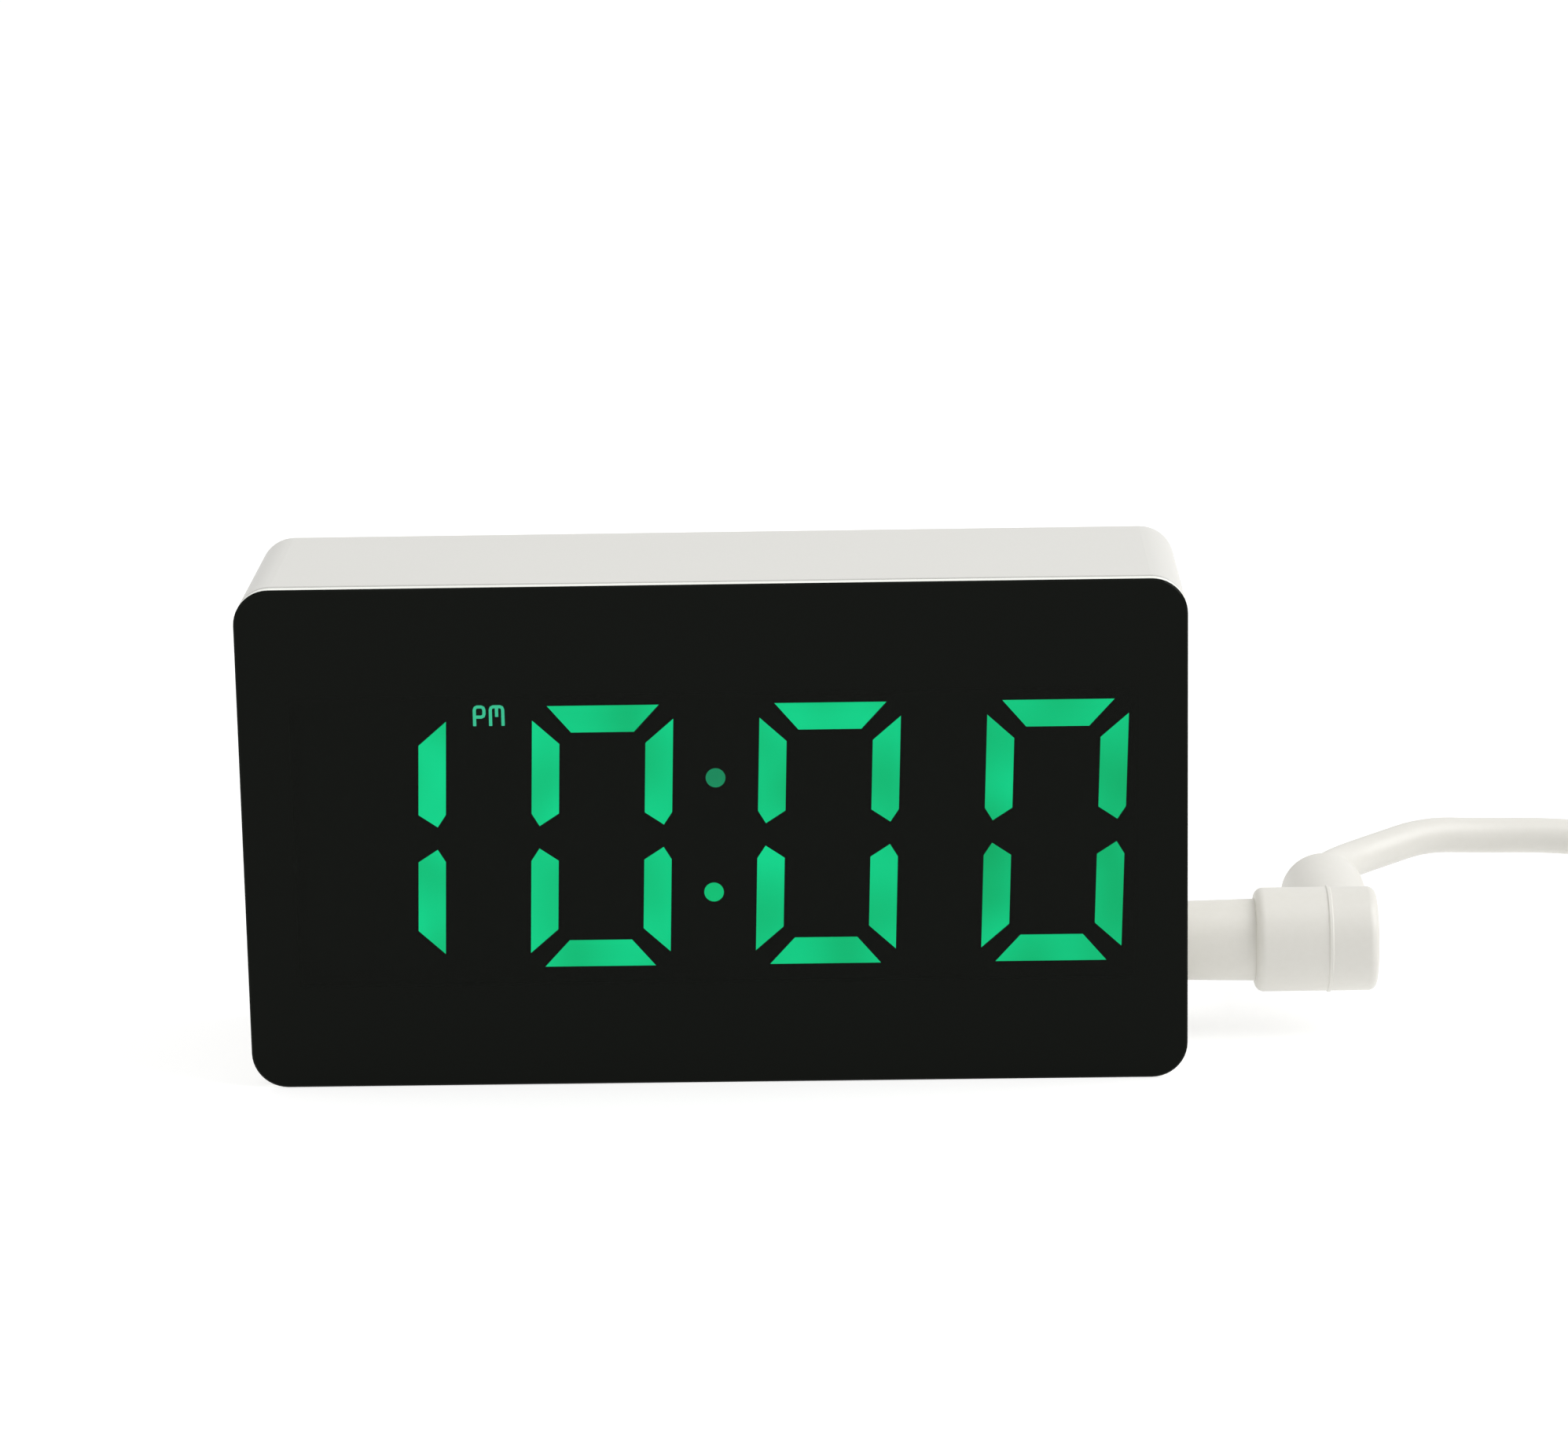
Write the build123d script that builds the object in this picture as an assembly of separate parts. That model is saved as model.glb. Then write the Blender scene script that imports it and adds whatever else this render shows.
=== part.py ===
from build123d import *
import math
import os

# A small mirror alarm clock, front face towards -Y, +Z up, origin under the middle of its base.
# All sizes are millimetres.

# Light digits, as drawn on the display
DIGIT_COUNT = 4
DIGIT_PITCH = 26.4
DIGIT_WIDTH = 16.4
DIGIT_HEIGHT = 31.5
DIGIT_SLANT = 1.9
SEGMENT_WIDTH = 3.2
SEGMENT_BEVEL = 2.85
CORNER_SETBACK = 1.7
MIDDLE_SHOULDER = 2.85
MIDDLE_GAP = 1.35
TIP_INSET = 0.95
MIDDLE_TIP_INSET = 1.3
COLON_RISE = 6.9
COLON_DIAMETER = 2.3
LEGEND_X = -25.9
LEGEND_DROP = 1.25
LEGEND_WIDTH = 5.2
LEGEND_HEIGHT = 3.4

# Reflector block that holds the light wells
REFLECTOR_DEPTH = 11.4
REFLECTOR_SIDE = 0.9
REFLECTOR_EDGE = 2.0
WELL_TAPER = 3.5
RESIN_DEPTH = 3.0
FLANGE_WIDTH = 1.0
FLANGE_THICKNESS = 1.5

# Light chips behind the wells
CHIP_LENGTH = 1.6
CHIP_WIDTH = 0.8
CHIP_HEIGHT = 0.6
CHIP_SHARE = 0.5

# Borders of the front panel round the reflector
SIDE_BORDER = 5.78
TOP_BORDER = 12.55
BOTTOM_BORDER = 11.95
CORNER_RADIUS = 4.2
LEAST_CORNER = 0.3

# Front panel and the tape that holds it
PANEL_THICKNESS = 1.5
PANEL_CHAMFER = 0.2
TAPE_THICKNESS = 0.25
TAPE_INSET = 0.3

# Housing
WALL = 2.0
FRONT_WALL = 1.6
FRONT_CHAMFER = 0.35
REAR_FILLET = 0.8
WINDOW_CLEARANCE = 0.3
LEDGE_WIDTH = 0.8
LEDGE_DEPTH = 1.5

# Main board and its posts
BOARD_THICKNESS = 1.6
BOARD_CLEARANCE = 0.7
BOARD_NOTCH = 0.3
POST_DIAMETER = 3.8
POST_X = 36.0
POST_GAP = 0.25
POST_RIM = 0.4

# Screws, one size for the boards and one for the rear cover
BOARD_SCREW_SHANK = 1.7
BOARD_SCREW_HEAD = 3.4
BOARD_SCREW_HEAD_HEIGHT = 1.2
BOARD_SCREW_LENGTH = 5.0
COVER_SCREW_SHANK = 2.0
COVER_SCREW_HEAD = 3.8
COVER_SCREW_HEAD_HEIGHT = 1.1
COVER_SCREW_LENGTH = 8.0
SCREW_CLEARANCE = 0.1
SCREW_HOLE_CLEARANCE = 0.2
CROSS_WIDTH = 0.55
CROSS_DEPTH = 0.6
CROSS_SPAN = 0.62

# Rear cover and its corner bosses
COVER_THICKNESS = 2.0
COVER_CLEARANCE = 0.15
BOSS_DIAMETER = 5.2
BOSS_INSET = 3.2
BOSS_RIB = 1.2

# Cells, their bay and its contacts
CELL_COUNT = 3
CELL_DIAMETER = 10.5
CELL_LENGTH = 44.5
CELL_NUB_DIAMETER = 3.8
CELL_NUB_LENGTH = 1.0
CELL_GAP = 0.5
CELL_CLEARANCE = 0.3
CELL_EDGE = 0.5
BAY_WALL = 1.2
BAY_GAP = 1.35
BAY_RISE = 2.65
SPRING_SPACE = 5.6
PLATE_SPACE = 0.6
CONTACT_THICKNESS = 0.4
CONTACT_WIDTH = 8.0
TAIL_WIDTH = 2.0
TAIL_CLEARANCE = 0.1
SPRING_DIAMETER = 6.0
SPRING_WIRE = 0.6
SPRING_TURNS = 4
SPRING_SIDES = 6
SPRING_SEAT = 0.1
RIDGE_HEIGHT = 2.2

# Battery door
DOOR_THICKNESS = 1.6
DOOR_LAP = 1.2
DOOR_CLEARANCE = 0.2
DOOR_CORNER = 1.2
HOOK_X = 15.0
HOOK_WIDTH = 6.0
HOOK_THICKNESS = 1.3
HOOK_REACH = 1.2
HOOK_UNDER = 0.3
LATCH_WIDTH = 12.0
LATCH_LENGTH = 1.8
LATCH_THICKNESS = 1.1
LATCH_CLEARANCE = 0.6
GRIP_COUNT = 4
GRIP_PITCH = 1.5
GRIP_WIDTH = 9.0
GRIP_GROOVE = 0.7
GRIP_DEPTH = 0.4
GRIP_DROP = 3.2

# Push buttons and the switches under them
BUTTON_NAMES = ("mode", "set", "up", "down")
BUTTON_PITCH = 18.0
BUTTON_RISE = 7.85
BUTTON_WIDTH = 9.0
BUTTON_HEIGHT = 5.0
BUTTON_CORNER = 2.2
BUTTON_PROUD = 0.6
BUTTON_CLEARANCE = 0.25
BUTTON_EDGE = 0.35
BUTTON_TRAVEL = 0.5
BUTTON_DISH = 0.3
FLANGE_LIP = 1.0
BUTTON_FLANGE = 0.8
BUTTON_FLANGE_GAP = 0.15
STEM_DIAMETER = 3.0
STEM_LENGTH = 1.75
PLUNGER_DIAMETER = 3.4
PLUNGER_RISE = 0.9
PLUNGER_SINK = 1.0
PLUNGER_CLEARANCE = 0.15
SWITCH_SIZE = 6.0
SWITCH_HEIGHT = 3.4
KEY_BOARD_THICKNESS = 1.2
KEY_BOARD_HEIGHT = 8.0
KEY_BOARD_OVERHANG = 15.5
KEY_POST_DIAMETER = 4.4
HEADER_GAP = 0.6
HEADER_DROP = 2.3
HEADER_PINS = 5
HEADER_PITCH = 1.8
HEADER_PIN = 0.6
HEADER_BASE = 2.4

# Sounder and its slots in the rear cover
BUZZER_X = -40.5
BUZZER_Z = 24.0
BUZZER_DIAMETER = 12.0
BUZZER_HEIGHT = 8.5
BUZZER_PORT = 2.5
SLOT_COUNT = 5
SLOT_PITCH = 2.6
SLOT_LENGTH = 9.0
SLOT_WIDTH = 1.2

# Other parts on the rear of the main board
CONTROLLER_LENGTH = 13.0
CONTROLLER_WIDTH = 7.5
CONTROLLER_HEIGHT = 2.3
CONTROLLER_X = 39.0
CONTROLLER_Z = 38.0
LEAD_COUNT = 9
LEAD_REACH = 1.2
LEAD_THICKNESS = 0.3
LEAD_WIDTH = 0.5
CRYSTAL_DIAMETER = 2.1
CRYSTAL_LENGTH = 6.2
CRYSTAL_EDGE = 0.26
CRYSTAL_Z = 29.0
CAPACITOR_DIAMETER = 6.3
CAPACITOR_HEIGHT = 7.5
CAPACITOR_EDGE = 0.5
CAPACITOR_Z = 21.5

# Power socket
JACK_SIZE = 6.5
JACK_LENGTH = 11.0
JACK_GAP = 0.3
JACK_BOSS_GAP = 0.35
JACK_BORE = 3.7
JACK_BORE_DEPTH = 9.5
JACK_PIN = 1.1
JACK_PIN_SHORT = 1.2
JACK_HOLE_CLEARANCE = 0.2

# Power plug, a moulded right angle
PLUG_GAP = 0.3
BARREL_DIAMETER = 3.5
BARREL_BORE = 1.5
BARREL_LENGTH = 9.5
COLLAR_DIAMETER = 9.9
COLLAR_END_DIAMETER = 9.5
COLLAR_LENGTH = 8.7
PLUG_BODY_DIAMETER = 12.5
PLUG_BODY_LENGTH = 14.6
PLUG_EDGE = 1.1
ARM_DIAMETER = 10.4
ARM_SETBACK = 4.7
ARM_REACH = 20.6
ARM_EDGE = 1.0
ARM_BLEND = 2.0
SEAM_SETBACK = 5.75
SEAM_WIDTH = 0.6
SEAM_HEIGHT = 0.15

# Power lead, its coil and tie
CORD_DIAMETER = 4.5
ARC_SHARE = 0.45
COIL_TURNS = 5
COIL_PITCH = 5.0
COIL_RADIUS = 32.0
COIL_STEP = 5.0
COIL_SIDES = 8
COIL_RISE_EASE = 1.5
TIE_THICKNESS = 0.6
TIE_WIDTH = 5.0
TIE_CLEARANCE = 0.2

# USB plug at the far end of the lead
USB_BODY_LENGTH = 20.0
USB_BODY_WIDTH = 15.5
USB_BODY_HEIGHT = 8.0
USB_BODY_EDGE = 2.2
USB_RELIEF_LENGTH = 9.0
USB_RELIEF_DIAMETER = 7.0
USB_RELIEF_LIP = 0.3
USB_SHELL_LENGTH = 18.7
USB_SHELL_WIDTH = 12.0
USB_SHELL_HEIGHT = 4.5
USB_SHELL_WALL = 0.35
USB_WINDOW = 2.4
USB_WINDOW_X = 5.2
USB_WINDOW_Y = 2.6
USB_TONGUE_HEIGHT = 1.9
USB_TONGUE_SHORT = 0.8
USB_CONTACT_COUNT = 4
USB_CONTACT_WIDTH = 1.0
USB_CONTACT_PITCH = 2.2
USB_CONTACT_HEIGHT = 0.15
USB_CONTACT_LENGTH = 8.0

# Route of the lead from the end of the plug's arm, as steps (x, y, z), chosen by hand
CORD_ROUTE = [
    (0.0, 0.0, 0.0),
    (0.0, 4.9, 0.0),
    (0.95, 9.1, -0.1),
    (2.85, 13.0, -0.3),
    (5.6, 16.4, -0.3),
    (9.0, 19.2, 0.0),
    (18.2, 25.0, 0.75),
    (28.3, 26.0, 0.05),
    (39.1, 25.5, -1.2),
    (49.3, 24.9, -4.1),
    (58.5, 24.7, -7.3),
    (66.1, 25.0, -8.35),
    (72.1, 25.0, -8.35),
]
# Route of the tail from the end of the coil to the USB plug, chosen by hand
TAIL_ROUTE = [
    (0.0, 0.0, 0.0),
    (7.0, 0.0, 0.0),
    (15.5, -0.3, -1.3),
    (24.0, 0.0, -4.05),
    (31.0, 0.0, -4.05),
]

# Sizes that follow from the ones above
SLANT_RUN = math.tan(math.radians(DIGIT_SLANT))
DIGIT_ROW = (DIGIT_COUNT - 1) * DIGIT_PITCH + DIGIT_WIDTH + SLANT_RUN * DIGIT_HEIGHT
LEGEND_RISE = DIGIT_HEIGHT / 2 - LEGEND_DROP
REFLECTOR_WIDTH = DIGIT_ROW + 2 * REFLECTOR_SIDE
REFLECTOR_HEIGHT = DIGIT_HEIGHT + 2 * REFLECTOR_EDGE
WIDTH = REFLECTOR_WIDTH + 2 * SIDE_BORDER
HEIGHT = REFLECTOR_HEIGHT + TOP_BORDER + BOTTOM_BORDER
DISPLAY_Z = BOTTOM_BORDER + REFLECTOR_HEIGHT / 2
BAY_DEPTH = BAY_WALL + 2 * CELL_CLEARANCE + CELL_DIAMETER
DEPTH = (PANEL_THICKNESS + TAPE_THICKNESS + REFLECTOR_DEPTH + BOARD_THICKNESS
         + BAY_GAP + BAY_DEPTH + DOOR_THICKNESS)
Y_FRONT = -DEPTH / 2
Y_TAPE = Y_FRONT + PANEL_THICKNESS
Y_HOUSING = Y_TAPE + TAPE_THICKNESS
Y_LEDGE = Y_HOUSING + FRONT_WALL
Y_BOARD = Y_HOUSING + REFLECTOR_DEPTH
Y_BOARD_REAR = Y_BOARD + BOARD_THICKNESS
Y_BAY = Y_BOARD_REAR + BAY_GAP
Y_BACK = DEPTH / 2
Y_COVER = Y_BACK - COVER_THICKNESS
Y_DOOR = Y_BACK - DOOR_THICKNESS
WINDOW_WIDTH = REFLECTOR_WIDTH + 2 * WINDOW_CLEARANCE
WINDOW_HEIGHT = REFLECTOR_HEIGHT + 2 * WINDOW_CLEARANCE
INNER_WIDTH = WIDTH - 2 * WALL
BOSS_X = INNER_WIDTH / 2 - BOSS_INSET
BOSS_LOW = WALL + BOSS_INSET
BOSS_HIGH = HEIGHT - WALL - BOSS_INSET
BOSS_SPOTS = [(x, z) for x in (-BOSS_X, BOSS_X) for z in (BOSS_LOW, BOSS_HIGH)]
POST_RISE = WINDOW_HEIGHT / 2 + FLANGE_WIDTH + POST_GAP + POST_DIAMETER / 2
POST_SPOTS = [(x, DISPLAY_Z + z) for x in (-POST_X, POST_X) for z in (-POST_RISE, POST_RISE)]
CELL_PITCH = CELL_DIAMETER + CELL_GAP
CELL_Y = Y_DOOR - CELL_CLEARANCE - CELL_DIAMETER / 2
BAY_LENGTH = CELL_LENGTH + SPRING_SPACE + PLATE_SPACE
BAY_HEIGHT = (CELL_COUNT - 1) * CELL_PITCH + CELL_DIAMETER + 2 * CELL_CLEARANCE
BAY_Z = WALL + BAY_RISE + BAY_WALL + BAY_HEIGHT / 2
CELL_SPOTS = [BAY_Z + (i - (CELL_COUNT - 1) / 2) * CELL_PITCH for i in range(CELL_COUNT)]
CELL_TURNS = [1 if i % 2 == 0 else -1 for i in range(CELL_COUNT)]
DOOR_WIDTH = BAY_LENGTH + 2 * DOOR_LAP
DOOR_HEIGHT = BAY_HEIGHT + 2 * DOOR_LAP
DOOR_LOW = BAY_Z - DOOR_HEIGHT / 2
BUTTON_Z = BAY_Z + BAY_HEIGHT / 2 + BAY_WALL + BUTTON_RISE
BUTTON_SPOTS = [(i - (len(BUTTON_NAMES) - 1) / 2) * BUTTON_PITCH for i in range(len(BUTTON_NAMES))]
Y_FLANGE_REAR = Y_COVER - BUTTON_FLANGE_GAP
Y_STEM = Y_FLANGE_REAR - BUTTON_FLANGE - STEM_LENGTH
Y_SWITCH_TOP = Y_STEM - PLUNGER_RISE
Y_KEY_BOARD_REAR = Y_SWITCH_TOP - SWITCH_HEIGHT
Y_KEY_BOARD = Y_KEY_BOARD_REAR - KEY_BOARD_THICKNESS
HEADER_LENGTH = HEADER_PINS * HEADER_PITCH
HEADER_X = HEADER_LENGTH / 2 + HEADER_GAP + BOARD_SCREW_HEAD / 2 - POST_X
HEADER_Z = BUTTON_Z - HEADER_DROP
KEY_POSTS = [x + BUTTON_PITCH / 2 for x in (BUTTON_SPOTS[0], BUTTON_SPOTS[-2])]
JACK_X = INNER_WIDTH / 2 - JACK_GAP
JACK_Y = Y_BOARD_REAR + JACK_SIZE / 2
JACK_Z = BOSS_LOW + BOSS_DIAMETER / 2 + JACK_BOSS_GAP + JACK_SIZE / 2
PLUG_X = WIDTH / 2 + PLUG_GAP
PLUG_END = PLUG_X + COLLAR_LENGTH + PLUG_BODY_LENGTH
ARM_X = PLUG_END - ARM_SETBACK
CORD_EXIT = Vector(ARM_X, JACK_Y + ARM_REACH, JACK_Z)
COIL_FLOOR = TIE_THICKNESS + TIE_CLEARANCE + CORD_DIAMETER / 2


def rear_prism(outline, y_front, y_rear):
    """Solid of an outline drawn in X and Z, from its front plane back to its rear plane."""
    plane = Plane(origin=(0, y_front, 0), x_dir=(1, 0, 0), z_dir=(0, -1, 0))
    return extrude(plane * outline, amount=y_rear - y_front, dir=(0, 1, 0))


def across(outline, x_left, x_right):
    """Solid of an outline drawn in Y and Z, from its left plane to its right plane."""
    plane = Plane(origin=(x_left, 0, 0), x_dir=(0, 1, 0), z_dir=(1, 0, 0))
    return extrude(plane * outline, amount=x_right - x_left, dir=(1, 0, 0))


def at(spots, outline):
    """Copies of one outline, one at each spot."""
    return [Pos(x, z) * outline for x, z in spots]


def body_outline(shrink=0.0):
    """Rounded front view of the clock, drawn in by an even margin."""
    radius = max(CORNER_RADIUS - shrink, LEAST_CORNER)
    return Pos(0, HEIGHT / 2) * RectangleRounded(WIDTH - 2 * shrink, HEIGHT - 2 * shrink, radius)


def segment_points():
    """The seven bars of one digit about its middle, before it leans."""
    wide = DIGIT_WIDTH / 2
    high = DIGIT_HEIGHT / 2
    long_end = wide - CORNER_SETBACK
    short_end = long_end - SEGMENT_BEVEL
    bar = [(-long_end, high), (long_end, high),
           (short_end, high - SEGMENT_WIDTH), (-short_end, high - SEGMENT_WIDTH)]
    post = [(wide, high - CORNER_SETBACK), (wide, MIDDLE_SHOULDER), (wide - TIP_INSET, MIDDLE_GAP),
            (wide - SEGMENT_WIDTH, MIDDLE_SHOULDER),
            (wide - SEGMENT_WIDTH, high - CORNER_SETBACK - SEGMENT_BEVEL)]
    tip = wide - MIDDLE_TIP_INSET
    half = SEGMENT_WIDTH / 2
    middle = [(-tip, 0), (SEGMENT_BEVEL - tip, half), (tip - SEGMENT_BEVEL, half),
              (tip, 0), (tip - SEGMENT_BEVEL, -half), (SEGMENT_BEVEL - tip, -half)]
    return {
        "a": bar,
        "b": post,
        "c": [(x, -z) for x, z in post],
        "d": [(x, -z) for x, z in bar],
        "e": [(-x, -z) for x, z in post],
        "f": [(-x, z) for x, z in post],
        "g": middle,
    }


SEGMENTS = segment_points()
DIGIT_CENTRES = [(i - (DIGIT_COUNT - 1) / 2) * DIGIT_PITCH for i in range(DIGIT_COUNT)]
DIGIT_NAMES = ("hour_tens", "hour_units", "minute_tens", "minute_units")
LIT_BARS = ("bc", "abcdef", "abcdef", "abcdef")


def leaned(points, x_mid):
    """Points of a digit set on the display and leaned to the right."""
    return [(x_mid + x + SLANT_RUN * z, DISPLAY_Z + z) for x, z in points]


def well(outline, depth):
    """Tapered light well or its resin, from the front of the reflector back by a depth."""
    plane = Plane(origin=(0, Y_HOUSING, 0), x_dir=(1, 0, 0), z_dir=(0, -1, 0))
    return extrude(plane * outline, amount=depth, dir=(0, 1, 0), taper=WELL_TAPER)


def bar_outline(digit, name):
    """Leaned outline of one bar of one digit."""
    return Polygon(*leaned(SEGMENTS[name], DIGIT_CENTRES[digit]), align=None)


def colon_outlines():
    """The two round dots between the hours and the minutes."""
    spots = [(SLANT_RUN * rise, DISPLAY_Z + rise) for rise in (COLON_RISE, -COLON_RISE)]
    return at(spots, Circle(COLON_DIAMETER / 2))


def legend_outline():
    """Small window of the afternoon legend, between the first two digits."""
    return Pos(LEGEND_X, DISPLAY_Z + LEGEND_RISE) * Rectangle(LEGEND_WIDTH, LEGEND_HEIGHT)


def make_front_panel():
    """Smoked mirror sheet that covers the whole front."""
    panel = rear_prism(body_outline(), Y_FRONT, Y_TAPE)
    front_edges = panel.faces().sort_by(Axis.Y)[0].edges()
    return chamfer(front_edges, PANEL_CHAMFER)


def make_panel_tape():
    """Frame of double-sided tape behind the rim of the panel."""
    window = Pos(0, DISPLAY_Z) * Rectangle(WINDOW_WIDTH + 2 * TAPE_INSET, WINDOW_HEIGHT + 2 * TAPE_INSET)
    return rear_prism(body_outline(TAPE_INSET) - window, Y_TAPE, Y_HOUSING)


def boss_outline(diameter, x, z):
    """Round boss in a corner with a rib to each of its two walls."""
    side = 1 if x > 0 else -1
    up = 1 if z > HEIGHT / 2 else -1
    rib_x = Pos(x + side * BOSS_INSET / 2, z) * Rectangle(BOSS_INSET, BOSS_RIB)
    rib_z = Pos(x, z + up * BOSS_INSET / 2) * Rectangle(BOSS_RIB, BOSS_INSET)
    return Pos(x, z) * Circle(diameter / 2) + rib_x + rib_z


def make_housing():
    """White moulded box: front wall with the display window, four walls, bosses, posts and a ledge."""
    shell = rear_prism(body_outline(), Y_HOUSING, Y_BACK)
    rear_edges = shell.faces().sort_by(Axis.Y)[-1].edges()
    shell = fillet(rear_edges, min(REAR_FILLET, WALL / 2))
    front_edges = shell.faces().sort_by(Axis.Y)[0].edges()
    shell = chamfer(front_edges, FRONT_CHAMFER)
    shell -= rear_prism(body_outline(WALL + LEDGE_WIDTH), Y_LEDGE, Y_COVER)
    shell -= rear_prism(body_outline(WALL), Y_LEDGE, Y_COVER - LEDGE_DEPTH)
    shell -= rear_prism(body_outline(WALL), Y_COVER, Y_BACK)
    window = Pos(0, DISPLAY_Z) * Rectangle(WINDOW_WIDTH, WINDOW_HEIGHT)
    shell -= rear_prism(window, Y_HOUSING, Y_LEDGE)
    for x, z in BOSS_SPOTS:
        shell += rear_prism(boss_outline(BOSS_DIAMETER, x, z), Y_LEDGE, Y_COVER)
    for x, z in POST_SPOTS:
        shell += rear_prism(Pos(x, z) * Circle(POST_DIAMETER / 2), Y_LEDGE, Y_BOARD)
    cover_pilot = Circle(COVER_SCREW_SHANK / 2 + SCREW_CLEARANCE)
    for hole in at(BOSS_SPOTS, cover_pilot):
        shell -= rear_prism(hole, Y_COVER - COVER_SCREW_LENGTH, Y_COVER)
    board_pilot = Circle(BOARD_SCREW_SHANK / 2 + SCREW_CLEARANCE)
    for hole in at(POST_SPOTS, board_pilot):
        shell -= rear_prism(hole, Y_BOARD - BOARD_SCREW_LENGTH, Y_BOARD)
    socket = Pos(JACK_Y, JACK_Z) * Circle(JACK_SIZE / 2 + JACK_HOLE_CLEARANCE)
    shell -= across(socket, INNER_WIDTH / 2 - LEDGE_WIDTH, WIDTH / 2)
    return shell


def make_reflector():
    """Black-faced block with a tapered light well behind every bar, dot and legend."""
    front = Pos(0, DISPLAY_Z) * Rectangle(REFLECTOR_WIDTH, REFLECTOR_HEIGHT)
    block = rear_prism(front, Y_HOUSING, Y_BOARD)
    flange = Pos(0, DISPLAY_Z) * Rectangle(WINDOW_WIDTH + 2 * FLANGE_WIDTH, WINDOW_HEIGHT + 2 * FLANGE_WIDTH)
    block += rear_prism(flange, Y_LEDGE, Y_LEDGE + FLANGE_THICKNESS)
    wells = [well(bar_outline(digit, name), REFLECTOR_DEPTH)
             for digit in range(DIGIT_COUNT) for name in SEGMENTS]
    wells += [rear_prism(dot, Y_HOUSING, Y_BOARD) for dot in colon_outlines()]
    wells.append(well(legend_outline(), REFLECTOR_DEPTH))
    return block - wells


def make_digit(digit, names):
    """Milky resin windows of some bars of one digit."""
    return Compound(children=[well(bar_outline(digit, name), RESIN_DEPTH).solid() for name in names])


def make_colon():
    """Milky resin windows of the two dots."""
    return Compound(children=[
        rear_prism(dot, Y_HOUSING, Y_HOUSING + RESIN_DEPTH).solid() for dot in colon_outlines()])


def make_legend_window():
    """Milky resin window behind the legend."""
    return well(legend_outline(), RESIN_DEPTH)


def chip_spots():
    """Where the light chips sit: two behind each bar, one behind each dot and the legend."""
    spots = []
    wide = DIGIT_WIDTH / 2 - SEGMENT_WIDTH / 2
    high = DIGIT_HEIGHT / 2 - SEGMENT_WIDTH / 2
    post_end = DIGIT_HEIGHT / 2 - CORNER_SETBACK - SEGMENT_BEVEL
    upright = (post_end + SEGMENT_BEVEL / 2 + MIDDLE_SHOULDER) / 2
    bar_step = CHIP_SHARE * (DIGIT_WIDTH / 2 - CORNER_SETBACK - SEGMENT_BEVEL)
    post_step = CHIP_SHARE * (post_end - MIDDLE_SHOULDER) / 2
    for middle in DIGIT_CENTRES:
        for z in (-high, 0, high):
            spots += [(x, z, True, middle) for x in (-bar_step, bar_step)]
        for x in (-wide, wide):
            for z in (-upright, upright):
                spots += [(x, z + step, False, middle) for step in (-post_step, post_step)]
    spots += [(0, COLON_RISE, True, 0), (0, -COLON_RISE, True, 0)]
    return spots


def make_light_chips():
    """Surface-mounted light chips on the front of the main board."""
    chips = []
    for x, z, flat, middle in chip_spots():
        (x_set, z_set), = leaned([(x, z)], middle)
        size = (CHIP_LENGTH, CHIP_WIDTH) if flat else (CHIP_WIDTH, CHIP_LENGTH)
        chips.append(rear_prism(Pos(x_set, z_set) * Rectangle(*size), Y_BOARD - CHIP_HEIGHT, Y_BOARD))
    legend = Pos(LEGEND_X, DISPLAY_Z + LEGEND_RISE) * Rectangle(CHIP_LENGTH, CHIP_WIDTH)
    chips.append(rear_prism(legend, Y_BOARD - CHIP_HEIGHT, Y_BOARD))
    return Compound(children=[chip.solid() for chip in chips])


def make_main_board():
    """Circuit board behind the reflector, notched at its corners for the bosses."""
    half_width = INNER_WIDTH / 2 - BOARD_CLEARANCE
    half_height = POST_RISE + POST_DIAMETER / 2 + POST_RIM
    outline = Pos(0, DISPLAY_Z) * Rectangle(2 * half_width, 2 * half_height)
    notch_x = half_width - BOSS_X + BOSS_DIAMETER / 2 + BOARD_NOTCH
    for x, z in BOSS_SPOTS:
        edge = DISPLAY_Z + math.copysign(half_height, z - HEIGHT / 2)
        reach = abs(edge - z) + BOSS_DIAMETER / 2 + BOARD_NOTCH
        notch = Rectangle(2 * notch_x, 2 * reach)
        outline -= Pos(math.copysign(half_width, x), edge) * notch
    holes = at(POST_SPOTS, Circle(BOARD_SCREW_SHANK / 2 + SCREW_HOLE_CLEARANCE))
    return rear_prism(outline - holes, Y_BOARD, Y_BOARD_REAR)


def screw(spot, y_seat, towards, head, head_height, shank, length):
    """Pan-head screw with a cross in its head, its head on one side of its seat and its shank beyond."""
    axis = Plane(origin=(spot[0], y_seat, spot[1]), x_dir=(1, 0, 0), z_dir=(0, -towards, 0))
    profile_head = extrude(axis * Circle(head / 2), amount=head_height)
    top = profile_head.faces().sort_by(Axis((0, 0, 0), (0, -towards, 0)))[-1]
    profile_head = chamfer(top.edges(), head_height / 2)
    body = profile_head + extrude(axis * Circle(shank / 2), amount=-length)
    arm = Rectangle(head * CROSS_SPAN, CROSS_WIDTH) + Rectangle(CROSS_WIDTH, head * CROSS_SPAN)
    cut = extrude(axis.offset(head_height - CROSS_DEPTH) * arm, amount=CROSS_DEPTH)
    return (body - cut).solid()


def make_board_screws():
    """Screws through the main board into the housing's posts."""
    return Compound(children=[
        screw(spot, Y_BOARD_REAR, -1, BOARD_SCREW_HEAD, BOARD_SCREW_HEAD_HEIGHT,
              BOARD_SCREW_SHANK, BOARD_SCREW_LENGTH)
        for spot in POST_SPOTS])


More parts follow.
